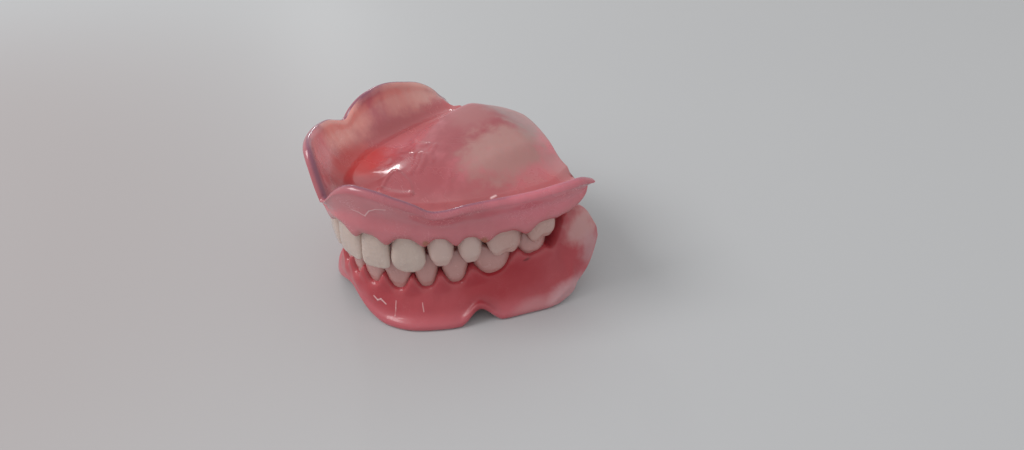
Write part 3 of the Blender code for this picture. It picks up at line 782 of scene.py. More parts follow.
def curve_through(places: tuple[float, ...], heights: tuple[float, ...], place: np.ndarray) -> np.ndarray:
    """Return the smooth curve through the given places and heights.

    Args:
        places: Places of the knots, in rising order.
        heights: The curve's height at each knot.
        place: Where the curve is wanted.

    Returns:
        The height at each wanted place.
    """
    knots, levels = np.array(places) * MM, np.array(heights) * MM
    slopes = np.gradient(levels, knots)
    index = np.clip(np.searchsorted(knots, place, side="right") - 1, 0, len(knots) - 2)
    span, rise = np.diff(knots)[index], np.diff(levels)[index]
    share = np.clip((place - knots[index]) / span, 0.0, 1.0)
    bend = (slopes[index] * span - rise) * (1.0 - share) + (rise - slopes[index + 1] * span) * share
    return levels[index] + rise * share + bend * share * (1.0 - share)


ROOM_NEIGHBOURS = 4
ROLL_SHARE = 0.75
CORNER_ROLL_SHARE = 0.3


@dataclass
class Loft:
    """Sections along the arch, kept as control points that each reach to the next in some steps."""

    closed: bool
    points: list[np.ndarray] = field(default_factory=list)
    steps: list[int] = field(default_factory=list)
    marks: dict[str, int] = field(default_factory=dict)

    def add(self, point: np.ndarray, steps: int, mark: str = "") -> None:
        """Add one control point of all sections.

        Args:
            point: The point in each section, an array of rows by 3.
            steps: How many steps the mesh takes to the next point.
            mark: A name under which its column is found again.
        """
        if mark:
            self.marks[mark] = sum(self.steps)
        self.points.append(point)
        self.steps.append(steps)

    def sections(self) -> np.ndarray:
        """Return the fine sections, an array of rows by columns by 3."""
        return spline(np.stack(self.points, axis=1), self.steps, self.closed)

    def distance(self, sections: np.ndarray, mark: str) -> np.ndarray:
        """Measure the way along each section from a marked column.

        Args:
            sections: The fine sections.
            mark: The column's mark.

        Returns:
            The way to each point in millimetres, an array of rows by columns.
        """
        steps = np.linalg.norm(np.diff(sections, axis=1), axis=2)
        along = np.concatenate([np.zeros((len(sections), 1)), np.cumsum(steps, axis=1)], axis=1)
        away = np.abs(along - along[:, self.marks[mark]][:, None])
        if self.closed:
            whole = along[:, -1:] + np.linalg.norm(sections[:, 0] - sections[:, -1], axis=1)[:, None]
            away = np.minimum(away, whole - away)
        return away / MM

    @staticmethod
    def room(outline: np.ndarray, inward: np.ndarray) -> np.ndarray:
        """Measure how far each point of an outline can move inward before it meets the far side.

        Args:
            outline: The points of the outline, an array of rows by 3.
            inward: The direction in which each point would move.

        Returns:
            The free way of each point, evened out along the outline.
        """
        away = outline[None, :, :] - outline[:, None, :]
        ahead = np.sum(away * inward[:, None, :], axis=2)
        size = np.sum(away ** 2, axis=2)
        reach = np.where(ahead > LEAST_REACH, size / (2.0 * np.maximum(ahead, LEAST_REACH)), 1.0)
        free = reach.min(axis=1)
        for choose in (np.min, np.mean):
            padded = np.pad(free, ROOM_NEIGHBOURS, mode="edge")
            windows = [padded[i:i + len(free)] for i in range(2 * ROOM_NEIGHBOURS + 1)]
            free = choose(windows, axis=0)
        return free

    def rounded_ends(self, sections: np.ndarray, radius: float, rings: int) -> np.ndarray:
        """Add rings past both ends that roll each end's rim over.

        Args:
            sections: The fine sections.
            radius: Greatest radius of the roll.
            rings: How many rings it gets.

        Returns:
            The sections with the extra rings before and after them.
        """
        added = []
        for last, before in ((sections[0], sections[1]), (sections[-1], sections[-2])):
            onward = last - before
            onward /= np.linalg.norm(onward, axis=1)[:, None] + LEAST_LENGTH
            if self.closed:
                travel = np.roll(last, -1, axis=0) - np.roll(last, 1, axis=0)
            else:
                travel = np.gradient(last, axis=0)
                travel[[0, -1], 1:] = 0.0
            inward = np.cross(travel, onward)
            inward /= np.linalg.norm(inward, axis=1)[:, None] + LEAST_LENGTH
            middle = last.mean(axis=0)
            if np.mean(np.sum(inward * (middle - last), axis=1)) < 0.0:
                inward = -inward
            roll = np.minimum(radius, ROLL_SHARE * self.room(last, inward))[:, None]
            if not self.closed:
                wall = float(np.linalg.norm(last[0] - last[-1]))
                roll[[0, -1]] = min(radius, CORNER_ROLL_SHARE * wall)
            angles = np.linspace(0.0, math.pi / 2.0, rings + 1)[1:]
            added.append([last + onward * roll * math.sin(angle)
                          + inward * roll * (1.0 - math.cos(angle)) for angle in angles])
        return np.concatenate([np.array(added[0][::-1]), sections, np.array(added[1])])

    def mesh(self, name: str, sections: np.ndarray, values: dict[str, np.ndarray],
             material: Material) -> Mesh:
        """Make the closed mesh of the sections.

        Args:
            name: The mesh's name.
            sections: The fine sections.
            values: Point attributes by name, arrays of rows by columns.
            material: The mesh's material.

        Returns:
            The mesh.
        """
        rows, columns = sections.shape[:2]
        ids = np.arange(rows * columns).reshape(rows, columns)
        across = np.concatenate([ids, ids[:, :1]], axis=1) if self.closed else ids
        quads = np.stack([across[:-1, :-1], across[:-1, 1:], across[1:, 1:], across[1:, :-1]], axis=-1)
        faces = quads.reshape(-1, 4).tolist() + [ids[0].tolist(), ids[-1].tolist()]
        mesh = bpy.data.meshes.new(name)
        mesh.from_pydata(sections.reshape(-1, 3).tolist(), [], faces)
        for title, value in values.items():
            mesh.attributes.new(title, "FLOAT", "POINT").data.foreach_set("value", value.ravel())
        close_surface(mesh)
        mesh.materials.append(material)
        mesh.shade_smooth()
        return mesh


def pad_rows(values: np.ndarray, rings: int) -> np.ndarray:
    """Repeat the first and the last row of an attribute for the rings of the rounded ends."""
    return np.concatenate([values[:1]] * rings + [values] + [values[-1:]] * rings)


@dataclass(frozen=True)
class Relief:
    """Ridges of one size on the palate, with the X and Y of their guide lines, all in mm."""

    width: float
    height: float
    lines: tuple[Pairs, ...]


PALATE_RELIEFS = (
    Relief(width=0.75, height=0.22, lines=(
        ((-1.1, -9.5), (0.9, -12.4), (4.2, -16.2)),
        ((-1.1, -9.5), (4.8, -8.9), (9.6, -10.5)),
        ((4.2, -16.2), (7.4, -13.8), (9.6, -10.5)))),
    Relief(width=1.5, height=0.34, lines=(
        ((3.6, -15.6), (6.6, -13.6), (8.8, -10.9)),)),
    Relief(width=1.5, height=0.26, lines=(
        ((-5.2, -12.2), (-6.4, -10.8), (-6.8, -9.2), (-8.4, -7.8)),
        ((-2.6, -2.0), (0.6, -4.4), (2.4, -6.9)),
        ((-0.6, -0.9), (1.8, -3.4), (3.2, -5.0)),
        ((-1.8, 2.2), (0.4, -0.4), (2.4, -0.9)),
        ((-5.0, -3.4), (-8.6, -4.6), (-12.2, -3.2)),
        ((-4.4, 1.2), (-8.0, 0.0), (-11.6, 1.4)))))
GUIDE_STEPS = 8
GUIDE_START = 100.0 * MM


@dataclass(frozen=True)
class ReliefTree:
    """Geometry node tree that raises low rounded ridges on a surface along guide lines."""

    width: float = 1.0 * MM
    height: float = 0.2 * MM

    def build(self) -> NodeTree:
        """Build the tree.

        Returns:
            The tree, whose inputs are the guide lines, the ridges' sizes and the material.
        """
        tree = bpy.data.node_groups.new("ridge_relief", "GeometryNodeTree")
        tree.is_modifier = True
        pen = TreeWriter(tree)
        pen.input("Geometry", "NodeSocketGeometry")
        pen.input("Lines", "NodeSocketObject")
        pen.input("Width", "NodeSocketFloat", self.width)
        pen.input("Height", "NodeSocketFloat", self.height)
        pen.input("Material", "NodeSocketMaterial")
        pen.output("Geometry", "NodeSocketGeometry")
        given = pen.node("NodeGroupInput").outputs
        lines = pen.node("GeometryNodeObjectInfo", {"Object": given["Lines"]}, transform_space="RELATIVE")
        near = pen.node("GeometryNodeProximity", {0: lines.outputs["Geometry"]}, target_element="EDGES")
        ridge = pen.node("ShaderNodeMapRange", {
            "Value": near.outputs["Distance"], "From Min": 0.0, "From Max": given["Width"],
            "To Min": given["Height"], "To Max": 0.0}, interpolation_type="SMOOTHERSTEP")
        facing = pen.node("GeometryNodeInputNormal")
        lift = pen.vectors("SCALE", {0: facing.outputs[0], "Scale": ridge.outputs[0]})[0]
        raised = pen.node("GeometryNodeSetPosition", {"Geometry": given["Geometry"], "Offset": lift})
        real = pen.node("GeometryNodeRealizeInstances", {"Geometry": raised.outputs[0]})
        dressed = pen.node("GeometryNodeSetMaterial", {
            "Geometry": real.outputs[0], "Material": given["Material"]})
        pen.node("NodeGroupOutput", {"Geometry": dressed.outputs[0]})
        return tree


def relief_guide(piece: Object, lines: tuple[Pairs, ...]) -> Object:
    """Lay guide lines on a piece's upper side.

    Args:
        piece: The piece.
        lines: Corner points of each line, as X and Y in millimetres.

    Returns:
        An object that holds the lines as edges.
    """
    corners = [vertex.co for vertex in piece.data.vertices]
    surface = BVHTree.FromPolygons(corners, [tuple(face.vertices) for face in piece.data.polygons])
    down = Vector((0.0, 0.0, -1.0))
    spots, edges = [], []
    for line in lines:
        knots = np.array([line[0], *line, line[-1]], dtype=float)
        knots = np.column_stack([knots, np.zeros(len(knots))])[None] * MM
        for index, spot in enumerate(spline(knots, [GUIDE_STEPS] * (len(knots[0]) - 1), False)[0]):
            hit = surface.ray_cast(Vector((spot[0], spot[1], GUIDE_START)), down)[0]
            if index:
                edges.append((len(spots) - 1, len(spots)))
            spots.append(tuple(hit))
    mesh = bpy.data.meshes.new("relief_guide")
    mesh.from_pydata(spots, edges, [])
    return new_piece("relief_guide", mesh)


@dataclass(frozen=True)
class UpperStations:
    """Where the upper plate's sections stand along the arch, and the heights of their main lines.

    Share is the way from the midline to the plate's end, and end_fade eases from 0 at the last
    tooth to 1 there.
    """

    place: np.ndarray
    share: np.ndarray
    end_fade: np.ndarray
    level: np.ndarray
    gum: np.ndarray
    border: np.ndarray
    floor: np.ndarray


@dataclass
class UpperPlate:
    """The upper base: palate, ridge trough and flanges, lofted along the arch."""

    row: ToothRow
    ends: tuple[float, float] = (66.2 * MM, 62.8 * MM)
    gum_overlap: float = 1.1 * MM
    papilla: float = 2.2 * MM
    least_wall: float = 2.0 * MM
    least_trough: float = 0.5 * MM
    left_border: tuple[tuple[float, ...], tuple[float, ...]] = (
        (0.0, 2.1, 4.3, 6.5, 8.7, 11.2, 14.0, 17.0, 20.0, 24.0, 27.7, 30.7, 35.0, 41.0, 51.0, 59.0,
         63.0, 66.2),
        (31.8, 33.1, 35.5, 37.8, 39.5, 40.6, 40.6, 40.0, 38.8, 36.9, 34.6, 34.5, 35.2, 35.4, 35.1,
         34.9, 34.3, 32.5))
    right_border: tuple[tuple[float, ...], tuple[float, ...]] = (
        (0.0, 2.1, 4.3, 6.5, 9.0, 14.0, 20.0, 23.0, 26.0, 28.7, 31.5, 35.0, 39.0, 44.0, 50.0, 56.0,
         59.0, 61.0, 62.8),
        (31.8, 35.3, 39.2, 41.1, 41.5, 41.2, 40.4, 39.6, 37.9, 36.8, 38.5, 39.9, 40.4, 40.1, 38.2,
         35.4, 32.8, 30.1, 28.2))
    flare: tuple[float, float, float] = (1.2 * MM, 2.2 * MM, 20.0 * MM)
    thickness: float = 2.4 * MM
    lip_share: float = 0.16
    trough_floor: tuple[float, float, float] = (30.6 * MM, 29.0 * MM, 30.0 * MM)
    trough_pace: float = 1.2
    trough_centre: float = 4.8 * MM
    trough_half_width: float = 2.6 * MM
    trough_lips: tuple[float, float] = (0.6 * MM, 1.1 * MM)
    palate_thickness: float = 2.0 * MM
    back_edge: float = 1.3 * MM
    edge_thinning: tuple[float, float] = (0.94, 0.06)
    palate_reach: tuple[float, float] = (18.2 * MM, 54.5 * MM)
    palate_heights: tuple[float, float, float] = (32.0 * MM, 38.1 * MM, 35.2 * MM)
    palate_top_share: float = 0.75
    palate_crest: float = 0.5 * MM
    palate_side: tuple[float, float] = (5.2 * MM, 20.0 * MM)
    palate_shoulders: tuple[float, float] = (0.95, 0.43)
    shoulder_pace: float = 1.5
    back_bow: tuple[float, float, float] = (1.7 * MM, 3.0 * MM, 4.0 * MM)
    heel_height: float = 26.2 * MM
    eminence: float = 0.22 * MM
    fold: float = 0.16 * MM
    fold_start: tuple[float, float] = (0.25, 14.0 * MM)
    rows: int = 400
    palate_steps: int = 44
    underside_start: int = 6
    end_radius: float = 0.45 * MM
    end_rings: int = 4
    tip_round: tuple[float, float] = (3.0 * MM, 3.4 * MM)

    def border(self, place: np.ndarray) -> np.ndarray:
        """Return the flange border's height at places along the arch, with its frenum notches."""
        left, right = (curve_through(*knots, np.abs(place))
                       for knots in (self.left_border, self.right_border))
        return np.where(place > 0.0, left, right)

    def dome(self, point: np.ndarray) -> np.ndarray:
        """Return the height of the palate's dome.

        Args:
            point: Points whose X and Y are read, an array of rows by 3.

        Returns:
            The dome's height over each point.
        """
        front, back = self.palate_reach
        share = (point[:, 1] - self.row.arch.front_y - front) / (back - front)
        rise = smoothstep(share / self.palate_top_share)
        fall = smoothstep((share - self.palate_top_share) / (1.0 - self.palate_top_share))
        start, top, end = self.palate_heights
        height = mix(mix(start, top, rise), end, fall)
        drop, reach = self.palate_side
        return height - drop * ((point[:, 0] - self.palate_crest) / reach) ** 2

    def stations(self) -> UpperStations:
        """Place the sections along the arch and find the heights of their main lines.

        Returns:
            The stations of all sections, from the right end round to the left.
        """
        row = self.row
        left_end = self.ends[0] - self.end_radius
        way = np.linspace(-1.0, 1.0, self.rows + 1)
        share = np.abs(way)
        side_end = np.where(way > 0.0, *self.ends) - self.end_radius
        teeth_share = row.length / left_end
        past = np.clip((share - teeth_share) / (1.0 - teeth_share), 0.0, 1.0)
        length = np.minimum(share, teeth_share) * left_end + past * (side_end - row.length)
        place, end_fade = np.sign(way) * length, smoothstep(past)
        border = self.border(place)
        near = np.clip(1.0 - (side_end - length) / self.tip_round[0], 0.0, 1.0)
        lift = self.tip_round[1] * (1.0 - np.sqrt(1.0 - near ** 2))
        ceiling = border - self.least_wall
        level, gum = (mix(row.gum_height(place, papilla), self.heel_height, end_fade)
                      for papilla in (0.0, self.papilla))
        level, gum = (np.where(near > 0.0, np.minimum(line + lift, np.maximum(ceiling, line)), line)
                      for line in (level, gum))
        floor = mix(self.trough_floor[0], self.trough_floor[1], smoothstep(share * self.trough_pace))
        floor = np.minimum(mix(floor, self.trough_floor[2], end_fade), border - self.least_trough)
        return UpperStations(place, share, end_fade, level, gum, border, floor)

    def point(self, at: UpperStations, outward: Value, height: Value) -> np.ndarray:
        """Lay one point of each section, bowed back with the palate's rear edge.

        Args:
            at: The sections' stations.
            outward: The point's offset away from the arch's inside.
            height: Its height over the ground.

        Returns:
            The point in each section, an array of rows by 3.
        """
        point = self.row.arch.at(at.place, outward, height)
        bow, bow_start, bow_reach = self.back_bow
        point[:, 1] += bow * at.share ** 4 * smoothstep((-outward - bow_start) / bow_reach)
        return point

    def palate(self, at: UpperStations, foot: np.ndarray) -> list[np.ndarray]:
        """Lay the palate's tissue side from the trough to the midline.

        Args:
            at: The sections' stations.
            foot: The point beside the trough in each section.

        Returns:
            The points after the foot, each an array of rows by 3.
        """
        bow = self.back_bow[0] * at.share ** 4
        midline = mix(*self.palate_reach, at.share) + self.row.arch.front_y
        middle = np.stack([0.0 * at.share, midline, 0.0 * at.share], axis=-1)
        shoulder = mix(*self.palate_shoulders, smoothstep(at.share * self.shoulder_pace))
        points = []
        for step in np.linspace(0.0, 1.0, self.palate_steps + 1)[1:]:
            point = mix(foot, middle, step)
            point[:, 1] += bow * step * (1.0 - step)
            point[:, 2] = mix(foot[:, 2], self.dome(point), smoothstep(step / shoulder))
            points.append(point)
        return points

    def loft(self) -> Loft:
        """Lay out the plate's sections, from the palate's underside round the gum and back over it.

        Returns:
            The plate's open loft.
        """
        at = self.stations()
        length, rise = np.abs(at.place), at.border - at.level
        half, over, depth = self.thickness / 2.0, self.gum_overlap, self.row.depth_at(at.place)
        flare = mix(self.flare[0], self.flare[1], smoothstep(length / self.flare[2]))
        lip = np.minimum(half, self.lip_share * rise)
        swell = self.eminence * self.row.eminence(at.place)
        front_fold, fold_reach = self.fold_start
        fold = self.fold * self.folds(at.place)
        fold = fold * mix(front_fold, 1.0, smoothstep(length / fold_reach))
        foot_rise = mix(self.trough_lips[0], self.trough_lips[1], at.end_fade)
        foot = self.point(at, -self.trough_centre - self.trough_half_width, at.floor + foot_rise)
        palate = self.palate(at, foot)
        edge_start, edge_length = self.edge_thinning
        thin = smoothstep((at.share - edge_start) / edge_length)
        thickness = mix(self.palate_thickness, self.back_edge, thin)
        loft = Loft(closed=False)
        for point in reversed(palate[self.underside_start:]):
            under = point.copy()
            under[:, 2] -= thickness
            loft.add(under, 1)
        loft.steps[-1] = 6
        profile = (
            (-depth - 2.6 * MM, mix(at.level, loft.points[-1][:, 2], 0.5), 4, ""),
            (-depth - 1.2 * MM, at.level + 0.3 * MM, 5, ""),
            (-depth / 2.0, at.gum + 0.3 * MM, 6, "bed"),
            (over * 0.30, at.gum, 6, "gum"),
            (over + swell * 0.7, at.level + 0.12 * rise, 6, ""),
            (over * 0.90 + swell, at.level + 0.42 * rise, 6, ""),
            (flare + half * 0.75, at.border - 0.18 * rise, 5, ""),
            (flare + half, at.border - lip * 0.90, 5, ""),
            (flare + half * 0.55, at.border - lip * 0.20, 5, ""),
            (flare - half * 0.25, at.border, 5, "border"),
            (flare - half * 0.90, at.border - lip * 0.60, 5, ""),
            (flare - half * 1.35 + fold, mix(at.border, at.floor, 0.35), 6, ""),
            (self.trough_half_width - self.trough_centre + fold * 0.5,
             mix(at.border, at.floor, 0.82), 6, ""),
            (-self.trough_centre, at.floor, 6, "trough"))
        for outward, height, steps, mark in profile:
            loft.add(self.point(at, outward, height), steps, mark)
        loft.add(foot, 4)
        for point in palate:
            loft.add(point, 1)
        return loft

    @staticmethod
    def folds(place: np.ndarray) -> np.ndarray:
        """Return the soft upright folds of the flange's inner side, from -1 to 1 along the arch."""
        waves = ((5.2, 0.4, 0.50), (3.1, 1.9, 0.30), (1.9, 4.4, 0.20))
        return sum(size * np.sin(2.0 * math.pi * place / (length * MM) + phase)
                   for length, phase, size in waves)

    def build(self, material: Material) -> Object:
        """Loft the plate, round its back edge and raise the palate's relief.

        Args:
            material: The plate's material.

        Returns:
            The plate.
        """
        loft = self.loft()
        sections = loft.sections()
        values = {f"{mark}_way": pad_rows(loft.distance(sections, mark), self.end_rings)
                  for mark in ("gum", "border", "trough")}
        inner = np.zeros(sections.shape[:2])
        inner[:, loft.marks["border"] + 1:] = 1.0
        values["tissue_side"] = pad_rows(inner, self.end_rings)
        sections = loft.rounded_ends(sections, self.end_radius, self.end_rings)
        piece = new_piece("upper_base_fine", loft.mesh("upper_base_fine", sections, values, material))
        tree = ReliefTree().build()
        for relief in PALATE_RELIEFS:
            guide = relief_guide(piece, relief.lines)
            run_tree(piece, tree, {
                "Lines": guide, "Width": relief.width * MM, "Height": relief.height * MM,
                "Material": material})
            bpy.data.objects.remove(guide)
        piece.data.shade_smooth()
        return piece


@dataclass
class LowerPlate:
    """The lower base: a horseshoe with the ridge channel underneath, lofted along the arch."""

    row: ToothRow
    end: float = 66.9 * MM
    gum_overlap: float = 1.1 * MM
    papilla: float = 3.2 * MM
    flare: tuple[float, float, float] = (1.2 * MM, 5.6 * MM, 20.0 * MM)
    labial_notch: tuple[float, float] = (4.8 * MM, 8.5 * MM)
    buccal_notch: tuple[float, float, float] = (4.2 * MM, 3.4 * MM, 33.8 * MM)
    notch_hollow: float = 1.4 * MM
    back_flare: tuple[float, float, float] = (1.0 * MM, 42.0 * MM, 14.0 * MM)
    heel: tuple[float, float, float] = (48.2 * MM, 15.0 * MM, 2.2)
    pad_height: float = 22.2 * MM
    pad_place: float = 58.2 * MM
    pad_drop: float = 0.8 * MM
    tip_round: tuple[float, float] = (3.0 * MM, 2.4 * MM)
    tip_fullness: float = 0.96
    pad_shell: float = 2.4 * MM
    pad_swell: tuple[float, float] = (51.0 * MM, 11.0 * MM)
    pad_tilt: float = 1.8 * MM
    outer_narrowing: tuple[float, float] = (0.15, 0.12)
    inner_narrowing: tuple[float, float] = (0.15, 0.25)
    lingual_border: float = 1.6 * MM
    channel_drop: float = 4.6 * MM
    lingual_setback: float = 2.6 * MM
    lobe_flat: float = 0.6 * MM
    thickness: float = 2.4 * MM
    eminence: float = 0.25 * MM
    rows: int = 400
    end_radius: float = 1.5 * MM
    end_rings: int = 7

    def border(self, place: np.ndarray) -> np.ndarray:
        """Return the height of the outer border: flat lobes, frenum notches and rising heels.

        Args:
            place: Distances along the arch from the midline.

        Returns:
            The border's height at each place.
        """
        length = np.abs(place)
        height = self.labial_notch[0] * notch(length, 0.0, self.labial_notch[1])
        height += self.buccal_notch[0] * notch(length, self.buccal_notch[2], self.buccal_notch[1])
        start, rise, power = self.heel
        past = np.maximum(0.0, length - start) / (self.end - start)
        return np.maximum(0.0, height - self.lobe_flat) + rise * past ** power

    def loft(self) -> Loft:
        """Lay out the plate's sections, from the outer gum line round the borders and back.

        Returns:
            The plate's closed loft.
        """
        end = self.end - self.end_radius
        place = np.linspace(-end, end, self.rows + 1)
        length = np.abs(place)
        row = self.row
        end_fade = smoothstep((length - row.length) / (self.pad_place - row.length))
        tip_fade = smoothstep((length - self.pad_place) / (self.end - self.pad_place))
        near = np.clip(1.0 - (end - length) / self.tip_round[0], 0.0, 1.0)
        tip_drop = self.tip_round[1] * (1.0 - np.sqrt(1.0 - self.tip_fullness * near ** 2))
        drop = self.pad_drop * tip_fade + tip_drop
        level, gum = (mix(row.gum_height(place, papilla), self.pad_height, end_fade) - drop
                      for papilla in (0.0, self.papilla))
        border = self.border(place)
        depth = row.depth_at(place)
        flare = mix(self.flare[0], self.flare[1], smoothstep(length / self.flare[2]))
        flare = flare - self.notch_hollow * notch(length, self.buccal_notch[2], self.buccal_notch[1])
        swing, swing_start, swing_length = self.back_flare
        flare = flare + swing * smoothstep((length - swing_start) / swing_length)
        half = self.thickness / 2.0
        fall = level - border
        roof = level - mix(self.channel_drop, self.pad_shell, end_fade)
        lingual = mix(self.lingual_border, border, end_fade)
        inward = -depth - self.lingual_setback
        over = self.gum_overlap
        swell = self.eminence * row.eminence(place)
        wall = mix(flare - half * 2.0, -depth * 0.35, 0.55)
        pad = smoothstep((length - self.pad_swell[0]) / self.pad_swell[1])
        tilt = self.pad_tilt * pad
        profile = (
            (0.15 * over, gum, 5, "gum"),
            (mix(0.80 * over, mix(over, flare, 0.22), pad) + swell * 0.7,
             level - mix(0.14, 0.07, pad) * fall, 6, ""),
            (mix(over, flare, mix(0.18, 0.55, pad)) + swell, level - mix(0.38, 0.26, pad) * fall, 6, ""),
            (mix(over, flare, mix(0.52, 0.88, pad)), level - mix(0.66, 0.55, pad) * fall, 5, ""),
            (flare - half * 0.2, border + half * 1.5, 4, ""),
            (flare, border + half * 0.6, 4, ""),
            (flare - half * 0.4, border, 4, "border"),
            (flare - half * 1.3, border, 4, ""),
            (flare - half * 2.0, border + half * 0.9, 6, ""),
            (wall, mix(border, roof, 0.62), 6, ""),
            (-depth * 0.35, roof, 4, ""), (-depth * 0.75, roof - tilt * 0.5, 5, ""),
            (inward + half * 1.6, mix(lingual, roof, 0.55), 4, ""),
            (inward + half * 1.2, lingual + half * 0.8, 3, ""),
            (inward + half * 0.5, lingual, 4, "lingual"),
            (inward - half * 0.5, lingual + half * 0.3, 4, ""),
            (inward - half * 0.9, lingual + half * 1.2, 6, ""),
            (inward - half * 0.2, mix(lingual, level - tilt, 0.55), 5, ""),
            (-depth - 0.8 * MM, level - 0.6 * MM - tilt, 5, ""),
            (-depth / 2.0, gum + 0.2 * MM - tilt * 0.4, 5, "bed"),
        )
        centre = -depth * 0.45
        outer, inner = (1.0 - pad_share * end_fade ** 2 - tip_share * tip_fade ** 2
                        for pad_share, tip_share in (self.outer_narrowing, self.inner_narrowing))
        loft = Loft(closed=True)
        for outward, height, steps, mark in profile:
            narrow = np.where(outward > centre, outer, inner)
            loft.add(row.arch.at(place, mix(centre, outward, narrow), height), steps, mark)
        return loft

    def build(self, material: Material) -> Object:
        """Loft the plate from heel to heel and round both heels.

        Args:
            material: The plate's material.

        Returns:
            The plate.
        """
        loft = self.loft()
        sections = loft.sections()
        values = {f"{mark}_way": pad_rows(loft.distance(sections, mark), self.end_rings)
                  for mark in ("gum", "border", "lingual")}
        sections = loft.rounded_ends(sections, self.end_radius, self.end_rings)
        return new_piece("lower_base_fine", loft.mesh("lower_base_fine", sections, values, material))


def screen(red: float, green: float, blue: float) -> Colour:
    """Return the linear colour of a screen colour given in steps of 0 to 255."""
    steps = (red / 255.0, green / 255.0, blue / 255.0)
    return tuple(step / 12.92 if step <= 0.04045 else ((step + 0.055) / 1.055) ** 2.4 for step in steps)


@dataclass(frozen=True)
class WayTint:
    """A tint that fades with an attribute of the mesh, such as the way from the border in mm."""

    attribute: str
    reach: float
    soft: float
    colour: Colour
    strength: float


@dataclass(frozen=True)
class ZoneTint:
    """A soft-edged patch of colour round a point of the piece, in millimetres."""

    centre: Spot
    radii: Spot
    colour: Colour
    strength: float
    breakup: float = 0.35
    roughness: float = 0.0
    only_on: str = ""


def on_both_sides(zone: ZoneTint) -> tuple[ZoneTint, ZoneTint]:
    """Return a patch and its mirror image on the wearer's other side."""
    x, y, z = zone.centre
    return zone, replace(zone, centre=(-x, y, z))


@dataclass(frozen=True)
class Stroke:
    """A drawn mark between two points, in millimetres: a ridge, a cut, a thin stain or a glint painted as
    pale colour.
    """

    start: Spot
    end: Spot
    width: float
    height: float
    colour: Colour | None = None
    strength: float = 0.0


def strokes_along(spots: tuple[Spot, ...], width: float, height: float, colour: Colour | None = None,
                  strength: float = 0.0) -> tuple[Stroke, ...]:
    """Return the strokes that join a line of points."""
    return tuple(Stroke(start, end, width, height, colour, strength)
                 for start, end in zip(spots[:-1], spots[1:]))


